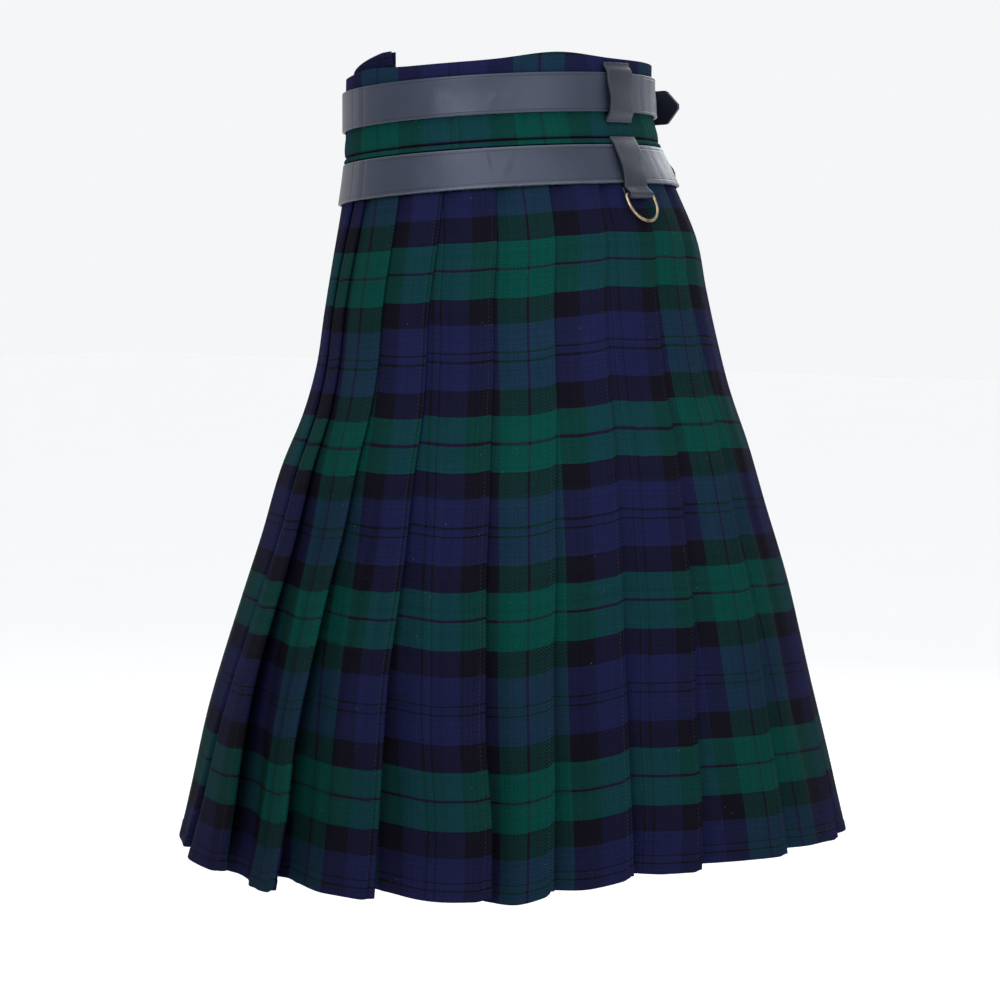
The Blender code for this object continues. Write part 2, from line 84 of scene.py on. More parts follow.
Fold = namedtuple("Fold", "waist hip thigh hem lift corner swell rise belly")
APRON_FOLD = Fold(-114, -121, -117.5, -121, 0.002, -0.5400, 1.6, 0.0, 0.0)
APRON_START = Fold(-134, -140, -136, -139, 0.0, HEM, 1.0, 0.0, 0.0)
PLEAT_FOLDS = (
    Fold(-104, -110, -105.5, -101, 0.018, -0.5442, 0.45, 0.0020, 0.0),
    Fold(-86.5, -90.5, -89.2, -88.5, 0.020, -0.5500, 1.2, -0.0010, -0.0010),
    Fold(-69, -73.7, -73, -71.7, 0.013, -0.5500, 1.5, 0.0030, -0.0010),
    Fold(-51.5, -54.5, -55.3, -53.2, 0.008, -0.5490, 1.6, 0.0015, -0.0022),
    Fold(-34, -37, -40.4, -43.6, 0.005, -0.5455, 1.6, -0.0075, -0.0012),
    Fold(-15, -20.5, -25.8, -31, 0.005, -0.5385, 1.6, -0.0075, 0.0),
    Fold(3, -1.8, -8.6, -19.2, 0.007, -0.5385, 1.6, 0.0010, 0.0),
    Fold(19.5, 15, 8.8, 1.5, 0.006, -0.5395, 1.6, 0.0030, 0.0),
    Fold(36, 33, 29, 23, 0.006, -0.5430, 1.6, 0.0050, 0.0),
    Fold(53.5, 51.5, 48.5, 45, 0.008, -0.5450, 1.6, 0.0020, -0.0010),
    Fold(71, 70, 68, 66, 0.010, -0.5460, 1.5, -0.0020, 0.0),
    Fold(88, 88, 87, 86, 0.009, -0.5450, 1.5, 0.0010, -0.0010),
)
PLEATS_PER_PIECE = 4
HIDDEN_SHARE = 0.5
HIDDEN_RISE = 0.002
VALLEY = 0.0030
FIRST_VALLEY = 3
LAST_PANEL_END = 112.0
APRON_EDGE = 102.3
UNDER_START = 112.4
UNDER_END = 267.0
UNDER_CLEARANCE = 0.0012
UNDER_HEM = HEM + 0.009
UNDER_END_RISE = 0.0136
UNDER_END_LEAN = 0.0030
LEAN_FROM = RIM + 0.0015
STRAP_THICK = 0.0024
STRAP_HALF_WIDTH = 0.0143
UPPER_STRAP_HEIGHT = 0.0006
LOWER_STRAP_HEIGHT = -0.0522
STRAP_LEFT_END = 212.0
APRON_STRAP_THICK = 0.0022
APRON_STRAP_HALF_WIDTH = 0.013
APRON_STRAP_START = 128.0
TAIL_LENGTH = 0.074
LOWER_TAIL_TURN = 34.0
KEEPER_THICK = 0.0020
KEEPER_HALF_WIDTH = 0.0150
KEEPER_END_HALF_WIDTH = 0.0130
KEEPER_ANGLE = 0.3
RING_ANGLE = -3.2
RING_WIRE = 0.0012
RING_HALF_WIDTH = 0.0158
RING_DROP = 0.0215
RING_BAR_HEIGHT = -0.0765
BUCKLE_WIRE = 0.0015
PRONG_WIRE = 0.0011
BUCKLE_HALF_HEIGHT = 0.0170
HEEL_BAR_ANGLE = 90.5
TIP_BAR_ANGLE = 102.5
BAND_BACK_END = 461.0

# The tartan: its repeats and stripes in metres, and where its threads lie on the cloth
WARP_SETT = 0.130
WEFT_SETT = 0.1261
WEFT_FIRST = 0.0683
CLOTH_LENGTH = 0.602
FIRST_EDGE_THREAD = -0.0238
THREAD_STEP = 0.0433
THREAD = 0.00062
ROWS = 92
BAND_GREEN_HEIGHT = -0.0329
GROOVE_ABOVE = 0.0036
RIM_WAVES = ((334.0, 17.0, 0.0045), (258.0, 13.0, 0.0022))

GREEN = (0.0014, 0.0370, 0.0310, 1.0)
NAVY = (0.0080, 0.0095, 0.0400, 1.0)
BLACK = (0.0045, 0.0040, 0.0080, 1.0)
GREEN_LINE = (0.0090, 0.0040, 0.0110, 1.0)
NAVY_LINE = (0.0040, 0.0040, 0.0045, 1.0)


def smooth_between(knots, values, at):
    knots = np.asarray(knots, float)
    values = np.asarray(values, float)
    at = np.clip(at, knots[0], knots[-1])
    slopes = np.gradient(values, knots)
    left = np.clip(np.searchsorted(knots, at, side="right") - 1, 0, len(knots) - 2)
    span = knots[left + 1] - knots[left]
    share = (at - knots[left]) / span
    rise = values[left] * (1 + 2 * share) * (1 - share) ** 2
    rise = rise + values[left + 1] * share**2 * (3 - 2 * share)
    start_bend = slopes[left] * span * share * (1 - share) ** 2
    end_bend = slopes[left + 1] * span * share**2 * (share - 1)
    return rise + start_bend + end_bend


def ease(share):
    share = np.clip(share, 0.0, 1.0)
    return share * share * (3 - 2 * share)


def hump(distance, width):
    return np.exp(-((distance / width) ** 2))


def run_along(points):
    """The distance run along a line of points, at each of them."""
    steps = np.linalg.norm(np.diff(points, axis=0), axis=-1)
    return np.concatenate([[0.0], np.cumsum(steps)])


def sine_cosine(degrees):
    return math.sin(math.radians(degrees)), math.cos(math.radians(degrees))


def add_object(name, data):
    thing = bpy.data.objects.new(name, data)
    bpy.context.scene.collection.objects.link(thing)
    return thing


def soften(thing, name, width, segments):
    edges = thing.modifiers.new(name, "BEVEL")
    edges.width = width
    edges.segments = segments
    edges.angle_limit = math.radians(50)


def ripple(angle, height):
    """The same slow unevenness for every layer, so that none crosses another."""
    turn = np.radians(angle)
    size = 0.0002 + 0.0022 * ease((-0.10 - height) / 0.45)
    wave = np.sin(7 * turn + 0.6 + 5 * height) + 0.8 * np.sin(12 * turn + 2.1 - 9 * height)
    wave = wave + 0.6 * np.sin(19 * turn + 4.0 + 13 * height) + 0.4 * np.sin(31 * turn - 17 * height)
    return size * wave * 0.5


def form_at(height):
    """The form's half width, half depth and centre at a height."""
    heights, *columns = zip(*FORM)
    return [smooth_between(heights, column, height) for column in columns]


def place(angle, height, out, rippled=False):
    """The point of the worn form at an angle and height, moved out."""
    half_width, half_depth, centre_y = form_at(height)
    if rippled:
        out = out + ripple(angle, height)
    turn = np.radians(angle)
    side, back = -np.sin(turn), np.cos(turn)
    slope = np.hypot(side / half_width, back / half_depth)
    x = half_width * side + out * side / half_width / slope
    y = half_depth * back + out * back / half_depth / slope
    rise = np.interp(height, TILT_HEIGHTS, TILTS) * y
    return np.stack(np.broadcast_arrays(x, centre_y + y, height + rise), axis=-1)


def layer_at(height):
    share = (SPREAD_FROM - height) / (SPREAD_FROM - HEM)
    return LAYER_AT_WAIST + (LAYER_AT_HEM - LAYER_AT_WAIST) * np.clip(share, 0, 1) ** 2


def angle_of(fold, height):
    """Where a fold lies, with the slight waver of a worn pleat's edge."""
    base = smooth_between(FOLD_HEIGHTS, (fold.hem, fold.thigh, fold.hip, fold.waist), height)
    phase = fold.waist * 0.7
    waver = 0.16 * np.sin(26 * height + phase) + 0.10 * np.sin(57 * height + 2.3 * phase)
    return base + waver * ease((-0.08 - height) / 0.12)


def lift_of(fold, height):
    return fold.lift * ease((STITCHED_TO - height) / (STITCHED_TO - HEM)) ** 0.8


def arc_width(start, end, height):
    """The distance round the form from one angle to another at each height."""
    middle = np.radians((start + end) / 2)
    half_width, half_depth, _ = form_at(height)
    per_degree = np.hypot(half_width * np.cos(middle), half_depth * np.sin(middle)) * math.pi / 180
    return (end - start) * per_degree


class Cloth:
    """Lengthwise lines of cloth side by side."""

    def __init__(self):
        self.lines = []
        self.groups = []
        self.shares = np.concatenate([np.linspace(0, 0.978, ROWS - 8), np.linspace(0.981, 1, 8)])

    def add(self, angle, out, bottom=HEM, group=0, top=CLOTH_TOP):
        """Adds a line at once, so angle and out may use a loop's own values."""
        heights = top + self.shares * (bottom - top)
        self.lines.append(place(angle(heights), heights, out(heights), rippled=True))
        self.groups.append(group)

    def widths(self):
        grid = np.array(self.lines)
        steps = np.linalg.norm(np.diff(grid, axis=0), axis=-1)
        return np.vstack([np.zeros(steps.shape[1]), np.cumsum(steps, axis=0)])

    def lengths(self):
        grid = np.array(self.lines)
        steps = np.linalg.norm(np.diff(grid, axis=1), axis=-1)[:, ::-1]
        run = np.hstack([np.zeros((len(grid), 1)), np.cumsum(steps, axis=1)])
        return (run / run[:, -1:])[:, ::-1]


def grid_object(name, grid, cloth_u, cloth_v, thickness, material, rim=None):
    """A wall of even thickness round a grid of points. cloth_u and cloth_v are each face corner's
    place on the flat cloth, in metres, as arrays of (columns - 1, rows - 1, 4)."""
    across, along = grid.shape[:2]
    index = np.arange(across * along).reshape(across, along)
    faces = corner_values(index).reshape(-1, 4)
    mesh = bpy.data.meshes.new(name)
    mesh.from_pydata(grid.reshape(-1, 3).tolist(), [], faces.tolist())
    layer = mesh.uv_layers.new(name="cloth")
    flat = np.stack([cloth_u.reshape(-1, 4), cloth_v.reshape(-1, 4)], axis=-1)
    layer.data.foreach_set("uv", flat.reshape(-1).astype(np.float32))
    mesh.materials.append(material)
    mesh.shade_smooth()
    thing = add_object(name, mesh)
    wall = thing.modifiers.new("wall", "SOLIDIFY")
    wall.offset = 0.0
    wall.thickness = thickness
    if rim is not None:
        thick = thing.vertex_groups.new(name="thick")
        for weight in np.unique(rim):
            thick.add(np.flatnonzero(rim == weight).tolist(), float(weight), "REPLACE")
        wall.vertex_group = "thick"
        wall.thickness_vertex_group = 0.0
    return thing


def corner_values(values):
    """Values at a grid's points, spread to its faces' corners."""
    return np.stack([values[:-1, :-1], values[:-1, 1:], values[1:, 1:], values[1:, :-1]], axis=-1)


HEM_TURN = 0.0078
# Below this the pressed hem has pulled its threads a little together
HEM_PULL = 0.030
HEM_CORNER = 0.0015


def cloth_object(name, cloth, edge_columns, edge_threads, material):
    """The fine wall of a length of tartan. Each group of lines counts its threads from its own line
    at the pleat's edge."""
    grid = np.array(cloth.lines)
    widths = cloth.widths()
    v = cloth.lengths() * CLOTH_LENGTH
    groups = np.array(cloth.groups)
    u_corners = np.zeros((grid.shape[0] - 1, grid.shape[1] - 1, 4))
    for group, (column, thread) in enumerate(zip(edge_columns, edge_threads)):
        u = corner_values(thread + widths - widths[column])
        mine = groups[1:] == group
        u_corners[mine] = u[mine]
    thick = np.where(v < HEM_TURN, 1.0, 0.6)
    thick = np.where((v > HEM_TURN * 0.85) & (v < HEM_TURN * 1.1), 0.5, thick)
    v = np.where(v < HEM_PULL, HEM_PULL - (HEM_PULL - v) * 1.22, v)
    return grid_object(name, grid, u_corners, corner_values(v), CLOTH / 0.6, material, thick.reshape(-1))


class Graph:
    """A material and short names for the nodes it is made of."""

    def __init__(self, name):
        self.material = bpy.data.materials.new(name)
        self.material.use_nodes = True
        self.tree = self.material.node_tree
        self.shader = self.tree.nodes["Principled BSDF"]

    def link(self, value, socket):
        if isinstance(value, bpy.types.NodeSocket):
            self.tree.links.new(value, socket)
        else:
            socket.default_value = value

    def math(self, operation, first, second=0.0, third=0.0):
        node = self.tree.nodes.new("ShaderNodeMath")
        node.operation = operation
        for value, socket in zip((first, second, third), node.inputs):
            self.link(value, socket)
        return node.outputs[0]

    def band(self, value, start, end):
        """0 at start and below, 1 at end and above, smoothly."""
        node = self.tree.nodes.new("ShaderNodeMapRange")
        node.interpolation_type = "SMOOTHSTEP"
        self.link(value, node.inputs["Value"])
        node.inputs["From Min"].default_value = start
        node.inputs["From Max"].default_value = end
        return node.outputs[0]

    def mix(self, share, first, second, blend="MIX"):
        node = self.tree.nodes.new("ShaderNodeMix")
        node.data_type = "RGBA"
        node.blend_type = blend
        self.link(share, node.inputs[0])
        self.link(first, node.inputs[6])
        self.link(second, node.inputs[7])
        return node.outputs[2]

    def stripes(self, value, stops):
        node = self.tree.nodes.new("ShaderNodeValToRGB")
        ramp = node.color_ramp
        ramp.interpolation = "CONSTANT"
        self.link(value, node.inputs[0])
        for i, (position, colour) in enumerate(stops):
            stop = ramp.elements[i] if i < 2 else ramp.elements.new(position)
            stop.position = position
            stop.color = colour
        return node.outputs[0]

    def noise(self, place_on, scale, detail=2.0, roughness=0.5):
        node = self.tree.nodes.new("ShaderNodeTexNoise")
        self.link(place_on, node.inputs["Vector"])
        node.inputs["Scale"].default_value = scale
        node.inputs["Detail"].default_value = detail
        node.inputs["Roughness"].default_value = roughness
        return node.outputs[0]

    def cells(self, place_on, scale):
        node = self.tree.nodes.new("ShaderNodeTexVoronoi")
        self.link(place_on, node.inputs["Vector"])
        node.inputs["Scale"].default_value = scale
        return node.outputs["Distance"], node.outputs["Color"]

    def white(self, value):
        node = self.tree.nodes.new("ShaderNodeTexWhiteNoise")
        node.noise_dimensions = "1D"
        self.link(value, node.inputs["W"])
        return node.outputs["Value"]

    def position(self):
        return self.tree.nodes.new("ShaderNodeTexCoord").outputs["Object"]

    def on_cloth(self):
        node = self.tree.nodes.new("ShaderNodeUVMap")
        node.uv_map = "cloth"
        split = self.tree.nodes.new("ShaderNodeSeparateXYZ")
        self.link(node.outputs[0], split.inputs[0])
        return split.outputs[0], split.outputs[1]

    def channel(self, colour):
        split = self.tree.nodes.new("ShaderNodeSeparateColor")
        self.link(colour, split.inputs[0])
        return split.outputs[0]

    def bump(self, height, distance, strength=1.0):
        node = self.tree.nodes.new("ShaderNodeBump")
        node.inputs["Distance"].default_value = distance
        node.inputs["Strength"].default_value = strength
        self.link(height, node.inputs["Height"])
        self.link(node.outputs[0], self.shader.inputs["Normal"])


def sett_stops(sett, green, black, navy):
    """The stripes of one repeat, starting at the green stripe's first thread."""
    line = 0.0019
    fine = 0.0016
    centre = green / 2
    navy_start = green + black
    navy_centre = navy_start + navy / 2
    places = [(0.0, GREEN), (centre - line / 2, GREEN_LINE), (centre + line / 2, GREEN)]
    places += [(green, BLACK), (navy_start, NAVY)]
    for aside in (-0.0032, 0.0032):
        places.append((navy_centre + aside - fine / 2, NAVY_LINE))
        places.append((navy_centre + aside + fine / 2, NAVY))
    places.append((navy_start + navy, BLACK))
    return [(at / sett, colour) for at, colour in places]


def tartan_material(name, seam_height=None):
    """The tartan, with a dark line at one height where the waistband has its groove: partly its dark thread,
    partly painted shade in the groove.
    """
    g = Graph(name)
    u, v = g.on_cloth()
    across = g.math("FLOOR", g.math("DIVIDE", u, THREAD))
    along = g.math("FLOOR", g.math("DIVIDE", v, THREAD))
    warp_place = g.math("MULTIPLY_ADD", across, THREAD / WARP_SETT, (0.021 + 4 * WARP_SETT) / WARP_SETT)
    weft_start = (0.0203 - WEFT_FIRST + 4 * WEFT_SETT) / WEFT_SETT
    weft_place = g.math("MULTIPLY_ADD", along, THREAD / WEFT_SETT, weft_start)
    warp = g.stripes(g.math("FRACT", warp_place), sett_stops(WARP_SETT, 0.042, 0.0195, 0.049))
    weft = g.stripes(g.math("FRACT", weft_place), sett_stops(WEFT_SETT, 0.0406, 0.0193, 0.0474))
    diagonal = g.math("FRACT", g.math("MULTIPLY", g.math("ADD", across, along), 0.25))
    weft_on_top = g.math("GREATER_THAN", diagonal, 0.49)
    share = g.math("MULTIPLY_ADD", weft_on_top, 0.34, 0.49)
    colour = g.mix(share, warp, weft)
    spot = g.position()
    tone = g.math("ADD", g.white(across), g.white(g.math("MULTIPLY", along, 1.37)))
    tone = g.math("MULTIPLY_ADD", tone, 0.16, 0.84)
    tone = g.math("MULTIPLY", tone, g.math("MULTIPLY_ADD", g.noise(spot, 9.0, 3.0), 0.35, 0.83))
    fuzz = g.noise(spot, 900.0, 2.0, 0.7)
    tone = g.math("MULTIPLY", tone, g.math("MULTIPLY_ADD", fuzz, 0.5, 0.75))
    # Away from the waistband the cloth is darker towards the hem: 0.72 of its tone at the hem, rising to 0.95
    # from 0.42 m up.
    if seam_height is None:
        up_from_hem = g.band(v, 0.0, 0.42)
        tone = g.math("MULTIPLY", tone, g.math("MULTIPLY_ADD", up_from_hem, 0.23, 0.72))
    shade = g.mix(1.0, colour, tone, "MULTIPLY")
    near, which = g.cells(spot, 230.0)
    speck = g.math("MULTIPLY", g.math("LESS_THAN", near, 0.10), g.math("GREATER_THAN", g.channel(which), 0.97))
    shade = g.mix(g.math("MULTIPLY", speck, 0.12), shade, (0.30, 0.32, 0.33, 1.0))
    # A dark line along the waistband's groove: painted shade in the pressed groove, together with the dark of
    # its thread.
    if seam_height is not None:
        from_seam = g.math("SUBTRACT", v, seam_height - BAND_GREEN_HEIGHT + WEFT_FIRST)
        outside_groove_shade = g.band(g.math("ABSOLUTE", from_seam), 0.0005, 0.0014)
        shade = g.mix(outside_groove_shade, (0.0016, 0.0016, 0.0028, 1.0), shade)
    g.link(shade, g.shader.inputs["Base Color"])
    rib_place = g.math("MULTIPLY", g.math("ADD", u, v), 2 * math.pi / (4 * THREAD))
    rib = g.math("MULTIPLY_ADD", g.math("SINE", rib_place), 0.5, 0.5)
    slub = g.noise(spot, 420.0, 3.0, 0.6)
    height = g.math("MULTIPLY_ADD", slub, 0.8, g.math("MULTIPLY_ADD", fuzz, 0.5, rib))
    g.bump(height, 0.00028, 0.9)
    g.link(g.math("MULTIPLY_ADD", fuzz, 0.12, 0.84), g.shader.inputs["Roughness"])
    g.shader.inputs["Specular IOR Level"].default_value = 0.03
    return g.material


# How far the straps' sewn line lies inside their edges
LINE_INSET = 0.0019


def leather_material(name, half_width, tone=1.0):
    g = Graph(name)
    spot = g.position()
    _, v = g.on_cloth()
    broad = g.noise(spot, 16.0, 4.0, 0.55)
    fine = g.noise(spot, 160.0, 3.0, 0.6)
    colour = g.mix(broad, (0.015, 0.018, 0.032, 1.0), (0.028, 0.034, 0.056, 1.0))
    colour = g.mix(g.math("MULTIPLY", fine, 0.30), colour, (0.010, 0.012, 0.020, 1.0))
    edge = g.band(g.math("ABSOLUTE", v), half_width - 0.0003, half_width)
    scuff = g.math("MULTIPLY_ADD", g.noise(spot, 300.0, 2.0), 0.5, 0.10)
    colour = g.mix(g.math("MULTIPLY", edge, scuff), colour, (0.10, 0.11, 0.14, 1.0))
    # Along the sewn line the leather is darkened: painted shade in the stitched groove.
    from_line = g.math("ABSOLUTE", g.math("SUBTRACT", g.math("ABSOLUTE", v), half_width - LINE_INSET))
    groove_shade = g.math("SUBTRACT", 0.75, g.math("MULTIPLY", g.band(from_line, 0.0001, 0.0006), 0.75))
    colour = g.mix(groove_shade, colour, (0.005, 0.005, 0.008, 1.0))
    # tone darkens a copy of the leather: the keepers' own darker tone, and painted shade for the tails.
    g.link(g.mix(1.0, colour, (tone, tone, tone, 1.0), "MULTIPLY"), g.shader.inputs["Base Color"])
    grain, _ = g.cells(spot, 1500.0)
    groove = g.math("SUBTRACT", 1.0, g.band(from_line, 0.0, 0.0007))
    height = g.math("MULTIPLY_ADD", groove, -2.5, g.math("MULTIPLY_ADD", grain, 0.5, fine))
    height = g.math("MULTIPLY_ADD", g.noise(spot, 34.0, 3.0, 0.5), 7.0, height)
    g.bump(height, 0.00009, 0.8)
    g.link(g.math("MULTIPLY_ADD", broad, 0.20, 0.33), g.shader.inputs["Roughness"])
    g.shader.inputs["Specular IOR Level"].default_value = 0.55
    g.shader.inputs["Specular Tint"].default_value = (0.72, 0.80, 1.0, 1.0)
    return g.material


def brass_material(name):
    g = Graph(name)
    spot = g.position()
    tarnish = g.band(g.noise(spot, 140.0, 4.0, 0.6), 0.35, 0.72)
    colour = g.mix(tarnish, (0.38, 0.30, 0.19, 1.0), (0.13, 0.10, 0.065, 1.0))
    g.link(colour, g.shader.inputs["Base Color"])
    g.link(g.math("MULTIPLY_ADD", tarnish, 0.25, 0.34), g.shader.inputs["Roughness"])
    g.bump(g.noise(spot, 900.0, 3.0), 0.00003, 0.6)
    g.shader.inputs["Metallic"].default_value = 1.0
    return g.material


def thread_material(name, colour):
    g = Graph(name)
    spot = g.position()
    twist = g.noise(spot, 2500.0, 2.0)
    dark = tuple(0.55 * c for c in colour[:3]) + (1.0,)
    g.link(g.mix(twist, dark, colour), g.shader.inputs["Base Color"])
    g.bump(twist, 0.00006, 0.8)
    g.link(g.math("MULTIPLY_ADD", twist, 0.2, 0.5), g.shader.inputs["Roughness"])
    g.shader.inputs["Specular IOR Level"].default_value = 0.15
    return g.material


def plain_material(name, colour, roughness):
    g = Graph(name)
    spot = g.position()
    grain = g.noise(spot, 3.0, 2.0)
    lighter = tuple(min(1.0, c * 1.02) for c in colour[:3]) + (1.0,)
    g.link(g.mix(grain, colour, lighter), g.shader.inputs["Base Color"])
    g.shader.inputs["Roughness"].default_value = roughness
    return g.material


def with_normals(grid):
    """The outward normals of a grid whose lines run down the garment and go round to its right."""
    along = np.gradient(grid, axis=1)
    across = np.gradient(grid, axis=0)
    normal = np.cross(along, across)
    return normal / np.linalg.norm(normal, axis=-1, keepdims=True)


Stitch = namedtuple("Stitch", "pitch length width height")
EDGE_STITCH = Stitch(0.0030, 0.0019, 0.00042, 0.00014)
HEM_STITCH = Stitch(0.0036, 0.0025, 0.00055, 0.00014)
APRON_HEM_STITCH = Stitch(0.0036, 0.0025, 0.00048, 0.00014)
APRON_SIDE_STITCH = Stitch(0.0038, 0.0025, 0.00055, 0.00022)
BAND_STITCH = Stitch(0.0030, 0.0020, 0.00045, 0.00014)
RIM_STITCH = Stitch(0.0027, 0.0022, 0.00045, 0.00014)
STRAP_STITCH = Stitch(0.0032, 0.0023, 0.0005, 0.00018)
EDGE_STITCH_START = 0.07
HEM_STITCH_START = 0.004
APRON_SIDE_STITCH_START = 0.06
HEM_STITCH_REACH = 0.85


def stitch_run(line, normals, stitch, first=0.0):
    """Short raised stitches along a line of points; returns their corner points."""
    pitch, length, width, height = stitch
    run = run_along(line)
    stitches = []
    at = first
    while at + length < run[-1]:
        ends = [np.array([np.interp(a, run, line[:, k]) for k in range(3)]) for a in (at, at + length)]
        normal = np.array([np.interp(at, run, normals[:, k]) for k in range(3)])
        normal /= np.linalg.norm(normal)
        ahead = ends[1] - ends[0]
        ahead /= np.linalg.norm(ahead)
        aside = np.cross(ahead, normal) * width / 2
        middle = (ends[0] + ends[1]) / 2
        quarter = (ends[1] - ends[0]) * 0.28
        base = middle - normal * 0.0001
        stitches.append(
            [
                ends[0] - normal * 0.0001,
                base - quarter + aside,
                middle - quarter + normal * height,
                base - quarter - aside,
                base + quarter + aside,
                middle + quarter + normal * height,
                base + quarter - aside,
                ends[1] - normal * 0.0001,
            ]
        )
        at += pitch
    return stitches


def sew(grid, part, stitch, first=0.0, reach=1.0):
    """Stitches along one line of a cloth's grid, on its outer face."""
    normals = with_normals(grid)[part]
    return stitch_run(grid[part] + normals * (CLOTH / 2 * reach), normals, stitch, first)


def sew_hem(cloth, first, last, stitch):
    row = int(np.argmin(np.abs(cloth.lengths()[0] * CLOTH_LENGTH - HEM_TURN)))
    return sew(np.array(cloth.lines), np.s_[first:last, row], stitch, HEM_STITCH_START, HEM_STITCH_REACH)


STITCH_ENDS = ((0, 2, 1), (0, 3, 2), (0, 1, 3), (7, 4, 5), (7, 5, 6), (7, 6, 4))
STITCH_SIDES = ((1, 2, 5, 4), (2, 3, 6, 5), (3, 1, 4, 6))
STITCH_FACES = STITCH_ENDS[:3] + STITCH_SIDES + STITCH_ENDS[3:]


def stitches_object(name, stitches, material):
    points = np.array(stitches).reshape(-1, 3)
    faces = []
    for start in range(0, len(points), 8):
        faces += [tuple(start + i for i in face) for face in STITCH_FACES]
    mesh = bpy.data.meshes.new(name)
    mesh.from_pydata(points.tolist(), [], faces)
    mesh.materials.append(material)
    mesh.shade_smooth()
    return add_object(name, mesh)


# Soft troughs pressed into the pleats: which pleat, how far across it at the top and bottom,
# from which height to which, how wide, and how deep
CREASES = (
    (1, 0.40, 0.52, -0.20, -0.56, 0.13, 0.0046),
    (0, 0.20, 0.16, -0.24, -0.56, 0.12, 0.0030),
    (2, 0.45, 0.30, -0.24, -0.54, 0.09, 0.0022),
    (2, 0.75, 0.70, -0.30, -0.50, 0.07, 0.0014),
    (3, 0.50, 0.42, -0.22, -0.54, 0.10, 0.0020),
    (4, 0.55, 0.60, -0.16, -0.40, 0.12, 0.0013),
    (5, 0.40, 0.35, -0.20, -0.54, 0.12, 0.0018),
    (5, 0.80, 0.72, -0.07, -0.24, 0.10, 0.0010),
    (6, 0.45, 0.42, -0.17, -0.33, 0.09, 0.0022),
    (6, 0.30, 0.55, -0.36, -0.54, 0.12, 0.0018),
    (7, 0.50, 0.38, -0.20, -0.54, 0.10, 0.0022),
    (8, 0.45, 0.55, -0.16, -0.48, 0.10, 0.0020),
    (9, 0.55, 0.45, -0.22, -0.54, 0.11, 0.0022),
    (10, 0.40, 0.55, -0.18, -0.50, 0.10, 0.0018),
    (11, 0.50, 0.40, -0.24, -0.54, 0.10, 0.0020),
)


def crease_depth(pleat, share, height):
    depth = 0.0 * height
    for which, top_share, bottom_share, top, bottom, width, deep in CREASES:
        if which == pleat:
            along = (top - height) / (top - bottom)
            middle = top_share + (bottom_share - top_share) * along
            window = ease(along * 4) * ease((1.08 - along) * 5)
            depth = depth + deep * window * hump(share - middle, width)
    return depth


NEAR_EDGE = (0.0105, 0.0080, 0.0060, 0.0046, 0.0036, 0.0028, 0.0020, 0.0012, 0.0005)
STITCH_AT = 0.0020
OUTER_COLUMNS = 20


def add_pleat(cloth, number, before_last, last, fold, last_of_piece):
    """The lines of one pleat. Returns the line at its edge, and the one that its stitching follows."""
    group = number % PLEATS_PER_PIECE

    def corner(share):
        return fold.corner + fold.rise * (1 - share**2) + fold.belly * 4 * share * (1 - share)

    def along(share, h):
        return angle_of(last, h) + share * (angle_of(fold, h) - angle_of(last, h))

    def width(h):
        return arc_width(angle_of(last, h), angle_of(fold, h), h)

    def per_metre(h):
        return (angle_of(fold, h) - angle_of(last, h)) / width(h)

    def radius(h):
        return layer_at(h) / 2

    def outer(share, h):
        rise = 2 * layer_at(h) * ease(share / (1 - HIDDEN_SHARE))
        pressed = 0.0004 * hump((1 - share) * width(h) - STITCH_AT, 0.0012)
        pressed = pressed * ease((h + 0.52) / 0.03)
        lift = lift_of(fold, h) * np.maximum(share, 0) ** fold.swell
        return rise + lift - crease_depth(number, share, h) - pressed - valley(share, h)

    def middle(share, h):
        reach = np.clip((share - (1 - HIDDEN_SHARE)) / HIDDEN_SHARE, 0, 1)
        return layer_at(h) + lift_of(fold, h) * reach**1.2

    def edge_share(h):
        return 1 - radius(h) / width(h)

    def valley(share, h):
        deep = VALLEY if number >= FIRST_VALLEY else 0.0
        return deep * ease((-0.26 - h) / 0.28) * hump(share, 0.24)

    def add(angle, out, share, hidden=False):
        rise = HEM_CORNER * ease((share - 0.87) / 0.11)
        if hidden:
            rise = max(rise, HIDDEN_RISE) + 0.0004
        cloth.add(angle, out, corner(share) + rise, group)

    def add_outer(share_of):
        add(lambda h: along(share_of(h), h), lambda h: outer(share_of(h), h), share_of(HEM))

    for step in np.linspace(0, 0.86, 6):
        back = HIDDEN_SHARE * (1 - step)
        cloth.add(
            lambda h: angle_of(last, h) - back * (angle_of(last, h) - angle_of(before_last, h)),
            lambda h: -valley(back, h),
            corner(0) + HIDDEN_RISE * ease(back * 8),
            group,
        )
    for step in np.linspace(0, 1, OUTER_COLUMNS, endpoint=False):
        add_outer(lambda h: step * (edge_share(h) - NEAR_EDGE[0] / width(h)))
    for distance in NEAR_EDGE:
        if distance == STITCH_AT:
            stitch_column = len(cloth.lines)
        add_outer(lambda h: edge_share(h) - distance / width(h))
    edge_column = len(cloth.lines)
    for turn in np.linspace(0, 180, 7):
        sine, cosine = sine_cosine(turn)
        blend = (1 + cosine) / 2

        def out(h):
            low = middle(edge_share(h), h)
            return low + (outer(edge_share(h), h) - low) * blend

        add(lambda h: along(edge_share(h), h) + radius(h) * sine * per_metre(h), out, 1)
    for share in np.linspace(0.95, 1 - HIDDEN_SHARE, 8, endpoint=False):
        add(lambda h: along(share, h), lambda h: middle(share, h), share, True)
    if not last_of_piece:
        for turn in (0, 60, 120):
            sine, cosine = sine_cosine(turn)
            inward = (1 - cosine) / 2
            add(
                lambda h: along(1 - HIDDEN_SHARE, h) - radius(h) * sine * per_metre(h),
                lambda h: layer_at(h) * (1 - inward) - valley(HIDDEN_SHARE, h) * inward,
                1 - HIDDEN_SHARE,
                True,
            )
    return edge_column, stitch_column


